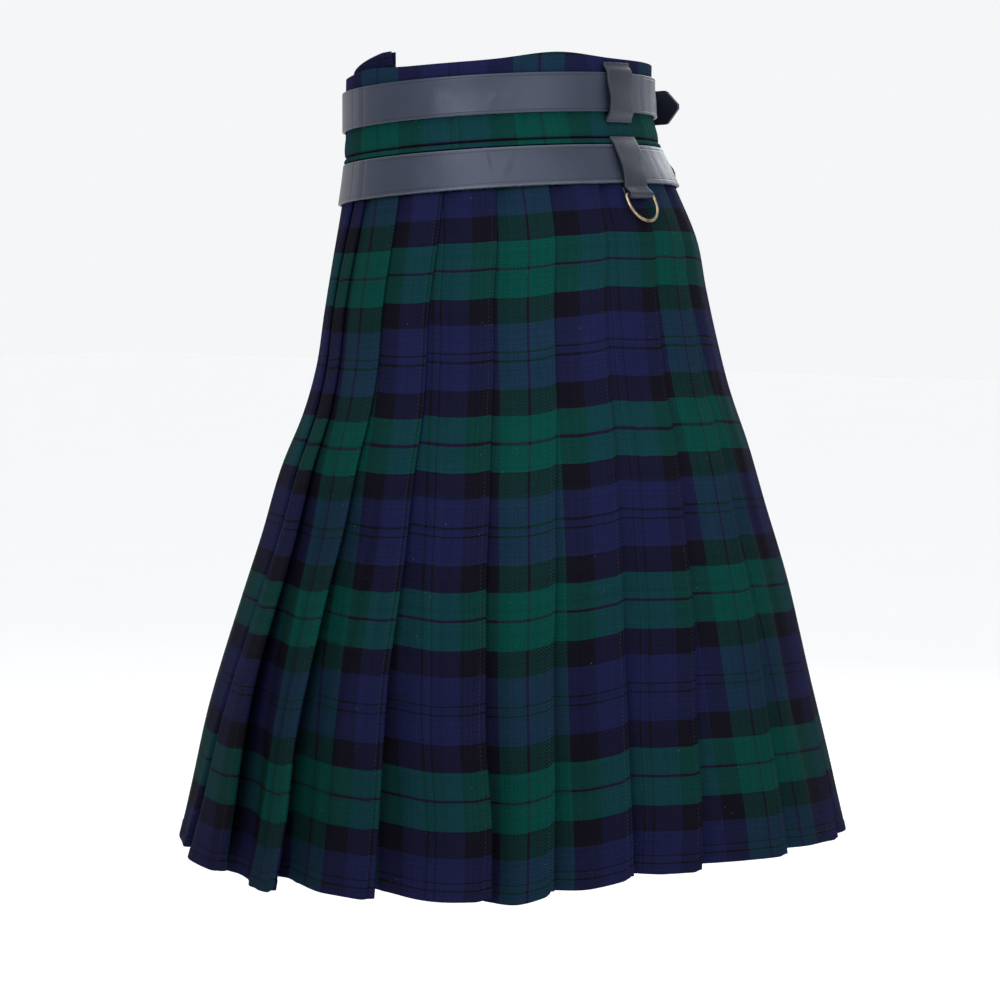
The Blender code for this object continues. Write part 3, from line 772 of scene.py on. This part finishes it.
def make_pleats(material, thread, hem_thread):
    folds = (APRON_START, APRON_FOLD) + PLEAT_FOLDS
    names = ("pleats_left", "pleats_back", "pleats_right")
    stitches, hem_stitches = [], []
    made = []
    for piece, name in enumerate(names):
        cloth = Cloth()
        edges, threads, seams = [], [], []
        for i in range(piece * PLEATS_PER_PIECE, (piece + 1) * PLEATS_PER_PIECE):
            last = i == (piece + 1) * PLEATS_PER_PIECE - 1 and name != names[-1]
            edge, seam = add_pleat(cloth, i, folds[i], folds[i + 1], folds[i + 2], last)
            edges.append(edge)
            seams.append(seam)
            threads.append(FIRST_EDGE_THREAD + THREAD_STEP * i)
        if name == names[-1]:
            fold, before = folds[-1], folds[-2]
            edges.append(len(cloth.lines))
            threads.append(FIRST_EDGE_THREAD + THREAD_STEP * len(PLEAT_FOLDS))
            for share in np.linspace(-0.5, 0, 6, endpoint=False):
                cloth.add(
                    lambda h: angle_of(fold, h) + share * (angle_of(fold, h) - angle_of(before, h)),
                    lambda h: 0 * h,
                    group=PLEATS_PER_PIECE,
                )
            for share in np.linspace(0, 1, 16):
                cloth.add(
                    lambda h: angle_of(fold, h) + share * (LAST_PANEL_END - angle_of(fold, h)),
                    lambda h: 0 * h,
                    group=PLEATS_PER_PIECE,
                )
        made.append((cloth_object(name + "_cloth", cloth, edges, threads, material), name))
        for column in seams:
            stitches += sew(np.array(cloth.lines), column, EDGE_STITCH, EDGE_STITCH_START)
        for group in range(len(edges)):
            columns = [i for i, g in enumerate(cloth.groups) if g == group]
            first = columns[0] + 6
            final = edges[group] if edges[group] > first else columns[-1]
            hem_stitches += sew_hem(cloth, first, final, HEM_STITCH)
    sewing = stitches_object("pleat_stitching", stitches, thread)
    hem_sewing = stitches_object("pleat_hem_stitching", hem_stitches, hem_thread)
    return made, (sewing, hem_sewing)


def apron_level(angle):
    return 1 + ease((angle - 205.0) / 28.0)


# Slow hanging folds of the flat aprons: angle, reach in degrees, depth at the hem
APRON_TROUGHS = ((118, 5, 0.0020), (139, 7, -0.0016), (158, 6, 0.0022), (181, 8, -0.0014), (203, 6, 0.0020))


def apron_drape(angle, height):
    deep = 0.0 * height
    for middle, reach, depth in APRON_TROUGHS:
        lean = middle + 10 * (height + 0.3)
        deep = deep + depth * hump(angle - lean, reach)
    return -deep * ease((-0.14 - height) / 0.36)


def make_outer_apron(material, thread):
    cloth = Cloth()

    def fold_angle(h):
        return 360 + angle_of(APRON_FOLD, h)

    def along(share, h):
        return APRON_EDGE + share * (fold_angle(h) - APRON_EDGE)

    def outer(share, h):
        angle = along(share, h)
        edge_share = np.clip((share - 0.75) / 0.25, 0, 1)
        level = apron_level(angle) * layer_at(h)
        return level + lift_of(APRON_FOLD, h) * edge_share**1.6 + apron_drape(angle, h)

    def per_metre(h):
        return 1 / arc_width(fold_angle(h) - 360 - 0.5, fold_angle(h) - 360 + 0.5, h)

    def corner(share):
        return APRON_FOLD.corner + 0.002 * math.sin(math.pi * share)

    def end(h):
        return 1 - layer_at(h) / 2 * per_metre(h) / (fold_angle(h) - APRON_EDGE)

    for step in np.linspace(0, 1, 110):
        cloth.add(lambda h: along(step * end(h), h), lambda h: outer(step * end(h), h), corner(step))
    edge = len(cloth.lines) - 1
    for turn in np.linspace(30, 180, 6):
        sine, cosine = sine_cosine(turn)
        cloth.add(
            lambda h: along(end(h), h) + layer_at(h) / 2 * sine * per_metre(h),
            lambda h: layer_at(h) + (outer(end(h), h) - layer_at(h)) * (1 + cosine) / 2,
            corner(1),
        )
    for share in np.linspace(0.99, 0.925, 5):
        cloth.add(lambda h: along(share, h), lambda h: layer_at(h) + 0 * h, corner(1))
    made = cloth_object("outer_apron_cloth", cloth, [edge], [FIRST_EDGE_THREAD - THREAD_STEP], material)
    stitches = sew_hem(cloth, 0, edge, APRON_HEM_STITCH)
    side = 2
    stitches += sew(np.array(cloth.lines), side, APRON_SIDE_STITCH, APRON_SIDE_STITCH_START)
    return made, stitches_object("apron_stitching", stitches, thread)


def under_top(angle):
    return CLOTH_TOP + UNDER_END_RISE * np.clip((angle - 212.0) / 50.0, 0.0, 1.0)


def under_out(angle, height):
    inside = ease((angle - 195.0) / 30.0) * (layer_at(height) + UNDER_CLEARANCE)
    band_room = ease((height + 0.075) / 0.03) * ease((angle - 114.0) / 8.0)
    return -inside - band_room * LAYER_AT_WAIST


def make_under_apron(material):
    cloth = Cloth()
    for angle in np.linspace(UNDER_START, UNDER_END, 96):
        top = float(under_top(angle))
        cloth.add(lambda h: angle + 0 * h, lambda h: under_out(angle, h), UNDER_HEM, top=top)
    return cloth_object("under_apron_cloth", cloth, [0], [0.02], material)


def skin(angle, banded):
    """The outer face that the straps lie on, with or without the waistband between."""
    angle = np.asarray(angle, float)
    right_hip = 2 - ease((angle % 360 - 90.0) / 10.0)
    level = np.where(angle % 360 < 180, np.where(angle % 360 < 88, 2.0, right_hip), 0)
    level = np.where(angle % 360 >= 180, apron_level(angle % 360), level)
    level = np.where(angle % 360 > 233, 2.0, level)
    face = level * LAYER_AT_WAIST + CLOTH / 2
    return face + (SEAM_GAP + CLOTH) * banded


BAND_THREAD_ANGLE = -32.7
UNDER_BAND_SHIFT = 0.075
BAND_SHARES = np.concatenate([np.linspace(0, 0.84, 13), np.linspace(0.848, 1, 20)])


def band_object(name, angles, tops, out, material, shift=0.0):
    """A waistband: smooth cloth with a sewn line and a rolled edge at its foot."""
    lines, heights = [], []
    for angle, top in zip(angles, tops):
        height = top + BAND_SHARES * (BAND_BOTTOM - top)
        from_foot = height - BAND_BOTTOM
        shape = 0.0009 * hump(from_foot - 0.0011, 0.0012)
        shape = shape - 0.0011 * hump(from_foot - GROOVE_ABOVE, 0.0009)
        shape = shape + 0.0008 * np.sin(math.pi * np.clip((from_foot - GROOVE_ABOVE) / 0.014, 0, 1))
        turn = math.radians(angle)
        puff = 0.00026 * (math.sin(23 * turn) + math.sin(41 * turn + 1.3) + 0.9 * math.sin(67 * turn))
        puff = puff + 0.00016 * math.sin(118 * turn + 2.0 * math.sin(9 * turn))
        shape = shape + puff * np.sin(math.pi * BAND_SHARES)
        lines.append(place(angle, height, out(angle, height) + shape))
        heights.append(height)
    grid = np.array(lines)
    middle_row = 12
    run = run_along(grid[:, middle_row])
    start = np.interp(360 + BAND_THREAD_ANGLE, angles, run)
    u = np.repeat((run - start + shift)[:, None], grid.shape[1], axis=1)
    v = np.array(heights) - BAND_GREEN_HEIGHT + WEFT_FIRST
    made = grid_object(name, grid, corner_values(u), corner_values(v), CLOTH, material)
    soften(made, "rounded rim", 0.0004, 2)
    return made, grid


def under_band_out(angle, height):
    above = np.clip((height - LEAN_FROM) / (under_top(angle) - LEAN_FROM + 0.001), 0.0, 1.0)
    lean = UNDER_END_LEAN * ease((angle - 215.0) / 15.0) * above
    return under_out(angle, height) + CLOTH + LYING_GAP + lean


def make_bands(material, thread):
    angles = np.linspace(APRON_EDGE + 0.3, BAND_BACK_END, 360)
    tops = RIM + sum(rise * hump(angles - at, reach) for at, reach, rise in RIM_WAVES)
    outer, grid = band_object("waistband_cloth", angles, tops, lambda a, h: skin(a, True) - CLOTH / 2, material)
    band_heights = RIM + BAND_SHARES * (BAND_BOTTOM - RIM)
    row = int(np.argmin(np.abs(band_heights - BAND_BOTTOM - GROOVE_ABOVE + 0.0012)))
    stitches = sew(grid, np.s_[:, row], BAND_STITCH)
    angles = np.linspace(UNDER_START + 9.0, UNDER_END, 120)
    tops = under_top(angles) + 0.0005
    under, grid = band_object("under_waistband_cloth", angles, tops, under_band_out, material, UNDER_BAND_SHIFT)
    normals = with_normals(grid)[:, 0]
    line = grid[:, 0] * 0.6 + grid[:, 1] * 0.4 + normals * (CLOTH / 2)
    stitches += stitch_run(line, normals, RIM_STITCH)
    return outer, under, stitches_object("waistband_stitching", stitches, thread)


# Creases across the straps: angle, reach in degrees, depth
STRAP_CREASES = (
    (-112.5, 0.7, 0.00022),
    (-108.0, 1.3, -0.00020),
    (-104.5, 0.8, 0.00025),
    (-92.0, 3.5, -0.00015),
    (-62.0, 5.0, 0.00015),
    (-15.0, 2.2, 0.00020),
    (15.5, 1.6, 0.00016),
    (22.5, 2.4, 0.00020),
    (51.0, 3.0, 0.00020),
    (73.0, 2.2, 0.00018),
)


# Soft slanting ridges and dents: which strap, angle, place across, reaches, lean, rise
RIDGES = (
    (LOWER_STRAP_HEIGHT, -53.6, -0.55, 0.7, 0.55, 0.4, 0.0007),
    (LOWER_STRAP_HEIGHT, -52.2, -0.10, 1.2, 0.40, 1.0, -0.0003),
    (LOWER_STRAP_HEIGHT, -48.0, 0.05, 1.6, 0.30, -3.5, 0.0008),
    (LOWER_STRAP_HEIGHT, -45.5, -0.15, 1.3, 0.35, -3.0, -0.0003),
    (UPPER_STRAP_HEIGHT, -47.5, 0.25, 2.6, 0.40, -5.0, 0.0006),
    (UPPER_STRAP_HEIGHT, -43.0, 0.05, 2.2, 0.45, -4.5, -0.0003),
    (UPPER_STRAP_HEIGHT, -70.0, 0.30, 3.2, 0.50, -3.0, 0.0005),
    (LOWER_STRAP_HEIGHT, -80.0, 0.10, 3.0, 0.60, 2.0, 0.0004),
    (UPPER_STRAP_HEIGHT, 40.0, 0.20, 2.4, 0.50, 3.0, 0.0005),
    (LOWER_STRAP_HEIGHT, 38.0, -0.20, 2.0, 0.50, 3.0, 0.0005),
    (LOWER_STRAP_HEIGHT, 62.0, 0.10, 2.4, 0.60, -3.0, 0.0004),
)


def strap_ridges(middle, angle, shares):
    out = 0.0 * shares
    for strap, at, across, reach, tall, lean, rise in RIDGES:
        if strap == middle:
            out = out + rise * hump(angle - at - lean * shares, reach) * hump(shares - across, tall)
    return out


# Places across a strap, from its upper edge to its lower one
ACROSS = np.linspace(-1, 1, 13)
CENTRE_LINE = 6


def strap_object(name, columns, thickness, material):
    """A leather strap through columns of points across it, with softened edges."""
    grid = np.array(columns)
    centre = grid.mean(axis=1, keepdims=True)
    reach = np.linalg.norm(grid - centre, axis=-1) * np.sign(ACROSS)[None, :]
    u = np.repeat(run_along(grid[:, CENTRE_LINE])[:, None], grid.shape[1], axis=1)
    made = grid_object(name, grid, corner_values(u), corner_values(reach), thickness, material)
    soften(made, "soft edges", thickness * 0.22, 3)
    return made


def strap_stitches(columns):
    """Stitches inside both edges of a long strap, up to its turn round the buckle."""
    grid = np.array(columns)[:, ::-1]
    before_turn = slice(0, -24)
    normals = with_normals(grid)[:, CENTRE_LINE]
    centre = grid.mean(axis=1)
    reach = np.linalg.norm(grid[:, 0] - centre, axis=-1)
    share = ((reach - LINE_INSET) / reach)[:, None]
    stitches = []
    for side in (0, -1):
        line = centre + (grid[:, side] - centre) * share + normals * (STRAP_THICK / 2)
        stitches += stitch_run(line[before_turn], normals[before_turn], STRAP_STITCH)
    return stitches


def dense(path, step):
    """More points along a path of angle and out, evenly by angle and out."""
    path = np.array(path, float)
    run = run_along(path * np.array([0.0019, 1.0]))
    at = np.linspace(0, run[-1], max(2, int(run[-1] / step)))
    return np.stack([np.interp(at, run, path[:, 0]), np.interp(at, run, path[:, 1])], axis=-1)


def crease_out(angle):
    return sum(-deep * hump(angle - middle, reach) for middle, reach, deep in STRAP_CREASES)


def make_long_strap(name, middle, banded, material):
    lying = LYING_GAP + STRAP_THICK / 2
    loop = BUCKLE_WIRE + LOOP_GAP + STRAP_THICK / 2
    heel = HEEL_BAR_ANGLE
    heel_skin = skin(heel, banded)
    bar = heel_skin + lying + loop
    doubled = lying + STRAP_THICK + SEAM_GAP
    degrees = 1 / np.linalg.norm(place(heel + 1, middle, bar) - place(heel, middle, bar))
    path = [
        (a, skin(a, banded) + lying + max(crease_out(a), -0.0004))
        for a in np.arange(STRAP_LEFT_END - 360, heel - 4, 0.5)
    ]
    path += [(heel - 3.0, heel_skin + lying)]
    for turn in range(0, 181, 15):
        sine, cosine = sine_cosine(turn)
        path.append((heel + loop * sine * degrees, bar - loop * cosine))
    path.append((heel - 2.6, bar + loop * 0.8))
    for back in (4.0, 6.0, 8.0, 10.0, 12.5, 15.0):
        path.append((heel - back, skin(heel - back, banded) + doubled))
    heights = middle - ACROSS * STRAP_HALF_WIDTH
    columns = [place(angle, heights, out + strap_ridges(middle, angle, ACROSS)) for angle, out in path]
    return strap_object(name + "_leather", columns, STRAP_THICK, material), columns


def make_apron_strap(name, middle, banded, material):
    half = APRON_STRAP_THICK / 2
    lying = LYING_GAP + half
    heel_top = LYING_GAP + 2 * LOOP_GAP + 2 * STRAP_THICK + 2 * BUCKLE_WIRE
    over = heel_top + SEAM_GAP + half
    path = [(a, skin(a, banded) + lying) for a in np.arange(APRON_STRAP_START, TIP_BAR_ANGLE + 0.5, -1.0)]
    rise = [
        (TIP_BAR_ANGLE, lying),
        (TIP_BAR_ANGLE - 2.6, lying + 0.0006),
        (TIP_BAR_ANGLE - 5.6, lying + 0.6 * (over - lying)),
        (TIP_BAR_ANGLE - 8.2, lying + 0.95 * (over - lying)),
        (HEEL_BAR_ANGLE, over),
    ]
    path += [tuple(p) for p in dense([(a, skin(a, banded) + out) for a, out in rise], 0.0014)]
    heights = middle - ACROSS * APRON_STRAP_HALF_WIDTH
    columns = [place(a, heights, out) for a, out in path]
    start = columns[-1]
    for share in np.linspace(0.05, 1.0, 34):
        if banded:
            run = share * TAIL_LENGTH
            points = start + np.array((0.010 * share**2, run, 0.03 * run))
        else:
            angle = HEEL_BAR_ANGLE - share * LOWER_TAIL_TURN
            points = place(angle, heights, skin(angle, banded) + over - 0.0010 * share)
        narrow = max(share - 0.82, 0) / 0.18 * 0.86
        centre = points.mean(axis=0)
        columns.append(centre + (points - centre) * (1 - narrow))
    return strap_object(name + "_leather", columns, APRON_STRAP_THICK, material)


def smooth_wire(name, points, radius, material, closed=True):
    curve = bpy.data.curves.new(name, "CURVE")
    curve.dimensions = "3D"
    curve.bevel_depth = radius
    curve.bevel_resolution = 6
    curve.use_fill_caps = True
    spline = curve.splines.new("POLY")
    spline.points.add(len(points) - 1)
    for knot, point in zip(spline.points, points):
        knot.co = (*point, 1.0)
    spline.use_cyclic_u = closed
    spline.use_smooth = True
    curve.materials.append(material)
    return add_object(name, curve)


def make_buckle(name, middle, banded, brass):
    bar_out = LYING_GAP + STRAP_THICK + LOOP_GAP + BUCKLE_WIRE
    corners = []
    heel, tip = HEEL_BAR_ANGLE, TIP_BAR_ANGLE
    ends = np.array((middle + STRAP_HALF_WIDTH, middle - STRAP_HALF_WIDTH))
    reach = BUCKLE_HALF_HEIGHT / STRAP_HALF_WIDTH
    for angle, side in ((heel, 1), (heel, -1), (tip, -1), (tip, 1)):
        upper, lower = place(angle, ends, skin(angle, banded) + bar_out)
        corners.append(Vector((upper + lower) / 2 + side * reach * (upper - lower) / 2))
    points = []
    for i, corner in enumerate(corners):
        before = (corners[i - 1] - corner).normalized()
        after = (corners[(i + 1) % 4] - corner).normalized()
        reach = 0.0016 if i < 2 else 0.0045
        for share in np.linspace(0, 1, 9):
            points.append(corner + (before * (1 - share) ** 2 + after * share**2) * reach)
    frame_piece = smooth_wire(name + "_brass", points, BUCKLE_WIRE, brass)
    top_of_strap = LYING_GAP + 2 * LOOP_GAP + 2 * STRAP_THICK + 2 * BUCKLE_WIRE + SEAM_GAP
    prong_out = top_of_strap + APRON_STRAP_THICK + SEAM_GAP + PRONG_WIRE
    rest_out = bar_out + BUCKLE_WIRE + SEAM_GAP + PRONG_WIRE
    angles = (heel + 0.4, heel + 3.5, tip - 5.5, tip - 2.5, tip + 0.5)
    fine = np.linspace(angles[0], angles[-1], 24)
    outs = (prong_out, prong_out, prong_out - 0.0006, rest_out + 0.0008, rest_out)
    outs = smooth_between(angles, outs, fine)
    points = [Vector(place(a, middle, skin(a, banded) + out)) for a, out in zip(fine, outs)]
    prong = smooth_wire(name + "_prong_brass", points, PRONG_WIRE, brass, closed=False)
    return frame_piece, prong


def keeper_point(angle, height, out, across):
    per_degree = np.linalg.norm(place(angle + 1.0, height, out) - place(angle, height, out))
    return place(angle + across / per_degree, height, out)


def keeper_column(angle, height, out, half_width, bulge):
    """Points across a keeper, which bows out towards its left edge."""
    bulges = bulge * (1 + ACROSS) / 2
    return [keeper_point(angle, height, out + b, -s * half_width) for s, b in zip(ACROSS, bulges)]


def ring_frame():
    """The ring's bar from the frame's joint, and the directions aside, down the cloth and out."""
    joint = next(j for j in frame["record"]["behaviour"]["joints"] if j["name"] == "d_ring_swing")
    bar = Vector(joint["pos_m"])
    aside = -Vector(joint["axis"]).normalized()
    low = Vector(place(RING_ANGLE, RING_BAR_HEIGHT - 0.0100, 0.0))
    high = Vector(place(RING_ANGLE, RING_BAR_HEIGHT, 0.0))
    down = low - high
    down = (down - aside * down.dot(aside)).normalized()
    return bar, aside, down, down.cross(aside)


def make_keepers(leather, end_leather):
    half = KEEPER_THICK / 2
    band_face = skin(0.0, True)
    over = band_face + LYING_GAP + STRAP_THICK + SEAM_GAP + half
    sewn = band_face + LYING_GAP + half
    path = (
        (0.0222, sewn),
        (0.0198, sewn + 0.0004),
        (0.0160, over + 0.0002),
        (0.0086, over + 0.0008),
        (0.0006, over + 0.0010),
        (-0.0080, over + 0.0008),
        (-0.0148, over + 0.0003),
        (-0.0184, sewn + 0.0008),
        (-0.0215, sewn),
    )
    columns = []
    for height, out in zip(*resample(*zip(*path), 40)):
        bulge = 0.0030 * hump(height + 0.004, 0.011)
        columns.append(keeper_column(KEEPER_ANGLE, height, out, KEEPER_HALF_WIDTH, bulge))
    upper = strap_object("upper_keeper_leather", columns, KEEPER_THICK, leather)
    over_strap = skin(0.0, False) + LYING_GAP + STRAP_THICK + SEAM_GAP + half
    path = (
        (KEEPER_ANGLE, -0.0322, sewn),
        (KEEPER_ANGLE, -0.0345, sewn + 0.0006),
        (0.6 * KEEPER_ANGLE, -0.0372, over_strap + 0.0006),
        (0.5 * RING_ANGLE, -0.0550, over_strap + 0.0009),
        (0.80 * RING_ANGLE, -0.0655, over_strap + 0.0003),
        (0.88 * RING_ANGLE, -0.0697, over_strap - 0.0008),
    )
    path_angles, path_heights, path_outs = zip(*path)
    heights, outs = resample(path_heights, path_outs, 34)
    angles = np.interp(heights[::-1], path_heights[::-1], path_angles[::-1])[::-1]
    columns = []
    for i, (angle, height, out) in enumerate(zip(angles, heights, outs)):
        share = i / (len(heights) - 1)
        half_width = KEEPER_HALF_WIDTH + share * (KEEPER_END_HALF_WIDTH - KEEPER_HALF_WIDTH)
        bulge = 0.0022 * hump(height + 0.054, 0.009)
        columns.append(keeper_column(angle, height, out, half_width, bulge))
    bar, aside, down, outward = ring_frame()
    loop = RING_WIRE + SEAM_GAP + half + 0.0001
    centres = []
    for turn in range(0, 181, 15):
        sine, cosine = sine_cosine(turn)
        centres.append(bar + down * (loop * sine) + outward * (loop * cosine))
    for back in (0.0015, 0.003, 0.0045, 0.0065):
        centres.append(bar - down * back - outward * loop)
    for centre in centres:
        columns.append([np.array(centre - aside * s * KEEPER_END_HALF_WIDTH) for s in ACROSS])
    return upper, strap_object("lower_keeper_leather", columns, KEEPER_THICK, end_leather)


def resample(heights, outs, count):
    """Points evenly along a smooth run through heights that go down and their outs."""
    heights = np.array(heights, float)
    fine = np.linspace(heights[0], heights[-1], 400)
    values = smooth_between(heights[::-1], np.array(outs)[::-1], fine)
    run = run_along(np.stack([fine, values], axis=-1))
    at = np.linspace(0, run[-1], count)
    return np.interp(at, run, fine), np.interp(at, run, values)


def make_ring(brass):
    bar, aside, down, _ = ring_frame()
    straight = 0.0060
    bend = 0.0028
    half_shape = [(0.0, 0.0), (RING_HALF_WIDTH - bend, 0.0)]
    for share in np.linspace(0.15, 1, 6):
        sine, cosine = sine_cosine(90 * share)
        half_shape.append((RING_HALF_WIDTH - bend + bend * sine, bend * (1 - cosine)))
    for turn in np.linspace(0, 90, 18):
        sine, cosine = sine_cosine(turn)
        half_shape.append((RING_HALF_WIDTH * cosine, straight + (RING_DROP - straight) * sine))
    points = half_shape + [(-x, y) for x, y in half_shape[::-1][1:-1]]
    return smooth_wire("ring_brass", [bar + aside * x + down * y for x, y in points], RING_WIRE, brass)


def studio():
    scene = bpy.context.scene
    scene.view_settings.view_transform = "Standard"
    world = bpy.data.worlds.new("studio")
    scene.world = world
    world.use_nodes = True
    nodes = world.node_tree.nodes
    toward = nodes.new("ShaderNodeVectorMath")
    toward.operation = "DOT_PRODUCT"
    toward.inputs[1].default_value = (-0.788, -0.616, 0.0)
    strength = nodes.new("ShaderNodeMapRange")
    strength.interpolation_type = "SMOOTHSTEP"
    for socket, value in (("From Min", -0.1), ("From Max", 0.95), ("To Min", 0.52), ("To Max", 0.93)):
        strength.inputs[socket].default_value = value
    directions = nodes.new("ShaderNodeTexCoord")
    link = world.node_tree.links.new
    link(directions.outputs["Generated"], toward.inputs[0])
    link(toward.outputs["Value"], strength.inputs["Value"])
    nodes["Background"].inputs[0].default_value = (0.98, 0.99, 1.0, 1.0)
    link(strength.outputs[0], nodes["Background"].inputs[1])
    mesh = bpy.data.meshes.new("floor")
    reach, level = 14.0, -0.95
    corners = ((-reach, -reach, level), (reach, -reach, level), (reach, reach, level), (-reach, reach, level))
    mesh.from_pydata(corners, [], [(0, 1, 2, 3)])
    mesh.materials.append(plain_material("pale_floor", (0.86, 0.87, 0.88, 1.0), 0.6))
    floor = add_object("floor", mesh)
    target = Vector((0, 0.01, -0.28))
    for name, spot, size, power, tint in (
        ("key", (2.9, 1.4, 1.3), 1.8, 55, (1.0, 0.99, 0.97)),
        ("fill", (0.6, 3.4, 0.6), 2.4, 32, (0.96, 0.98, 1.0)),
        ("rim", (-3.0, -1.0, 1.2), 1.8, 30, (0.97, 0.99, 1.0)),
    ):
        lamp = bpy.data.lights.new(name, "AREA")
        lamp.shape = "DISK"
        lamp.size = size
        lamp.energy = power
        lamp.color = tint
        thing = add_object(name, lamp)
        thing.location = spot
        thing.rotation_euler = (target - Vector(spot)).to_track_quat("-Z", "Y").to_euler()
    overhead = bpy.data.lights.new("overhead", "SUN")
    overhead.energy = 1.5
    overhead.angle = math.radians(60)
    thing = add_object("overhead", overhead)
    thing.rotation_euler = (math.radians(-14), math.radians(12), 0.0)
    camera_data = bpy.data.cameras.new("camera")
    camera_data.sensor_width = 36.0
    camera_data.lens = 124.2
    camera = add_object("camera", camera_data)
    to_camera = Vector((0.788, 0.616, 0.0)).normalized()
    camera.location = to_camera * 2.6 + Vector((0, 0, -0.081))
    pitch = math.radians(4.7)
    ahead = -to_camera * math.cos(pitch) - Vector((0, 0, math.sin(pitch)))
    camera.rotation_euler = ahead.to_track_quat("-Z", "Y").to_euler()
    scene.camera = camera


# Straight-sided cuts of what is modelled: width at the top, width at the hem, length
PLEAT_CUTS = ((0.244, 0.645, 0.595), (0.309, 0.523, 0.595), (0.339, 0.940, 0.595))


def main():
    studio()
    tartan = tartan_material("tartan_wool")
    leather = leather_material("strap_leather", STRAP_HALF_WIDTH)
    # The tails' leather is a darker copy of the strap leather: painted shade, as the tails lie on the far side.
    shaded_tail_leather = leather_material("shaded_tail_leather", APRON_STRAP_HALF_WIDTH, 0.6)
    keeper_leather = leather_material("keeper_leather", KEEPER_HALF_WIDTH, 0.5)
    keeper_end_leather = leather_material("keeper_end_leather", KEEPER_HALF_WIDTH - 0.0010, 0.5)
    brass = brass_material("aged_brass_metal")
    band_tartan = tartan_material("band_tartan_wool", BAND_BOTTOM + GROOVE_ABOVE)
    edge_thread = thread_material("edge_thread", (0.030, 0.029, 0.044, 1.0))
    cloth_thread = thread_material("cloth_thread", (0.010, 0.009, 0.014, 1.0))
    strap_thread = thread_material("strap_thread", (0.012, 0.012, 0.018, 1.0))

    def settle(piece, slot_name, *nodes, body="kilt"):
        if nodes:
            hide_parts(*nodes)
        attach(piece, body)

    pleats, sewing = make_pleats(tartan, edge_thread, cloth_thread)
    for (piece, node), cut in zip(pleats, PLEAT_CUTS):
        settle(piece, "tartan_cloth", node)
    for piece in sewing:
        settle(piece, "tartan_cloth")
    apron, apron_sewing = make_outer_apron(tartan, cloth_thread)
    settle(apron, "tartan_cloth", "outer_apron")
    settle(apron_sewing, "tartan_cloth")
    under = make_under_apron(tartan)
    settle(under, "tartan_cloth", "under_apron")
    band, under_band, band_sewing = make_bands(band_tartan, cloth_thread)
    settle(band, "band_cloth", "waistband")
    settle(under_band, "band_cloth", "under_waistband")
    settle(band_sewing, "band_cloth")

    leather_stitches = []
    for name, middle, banded in (("upper", UPPER_STRAP_HEIGHT, True), ("lower", LOWER_STRAP_HEIGHT, False)):
        strap, columns = make_long_strap(name + "_strap", middle, banded, leather)
        settle(strap, "black_leather", name + "_strap")
        leather_stitches += strap_stitches(columns)
        tail = make_apron_strap(name + "_apron_strap", middle, banded, shaded_tail_leather)
        settle(tail, "black_leather", name + "_apron_strap")
        buckle, prong = make_buckle(name + "_buckle", middle, banded, brass)
        settle(buckle, "aged_brass", name + "_buckle")
        settle(prong, "aged_brass", name + "_buckle_prong")
    upper, lower = make_keepers(keeper_leather, keeper_end_leather)
    settle(upper, "black_leather", "upper_keeper")
    settle(lower, "black_leather", "lower_keeper")
    sewn = stitches_object("strap_stitching", leather_stitches, strap_thread)
    settle(sewn, "black_leather")
    ring = make_ring(brass)
    settle(ring, "aged_brass", "d_ring", body="d_ring")


main()
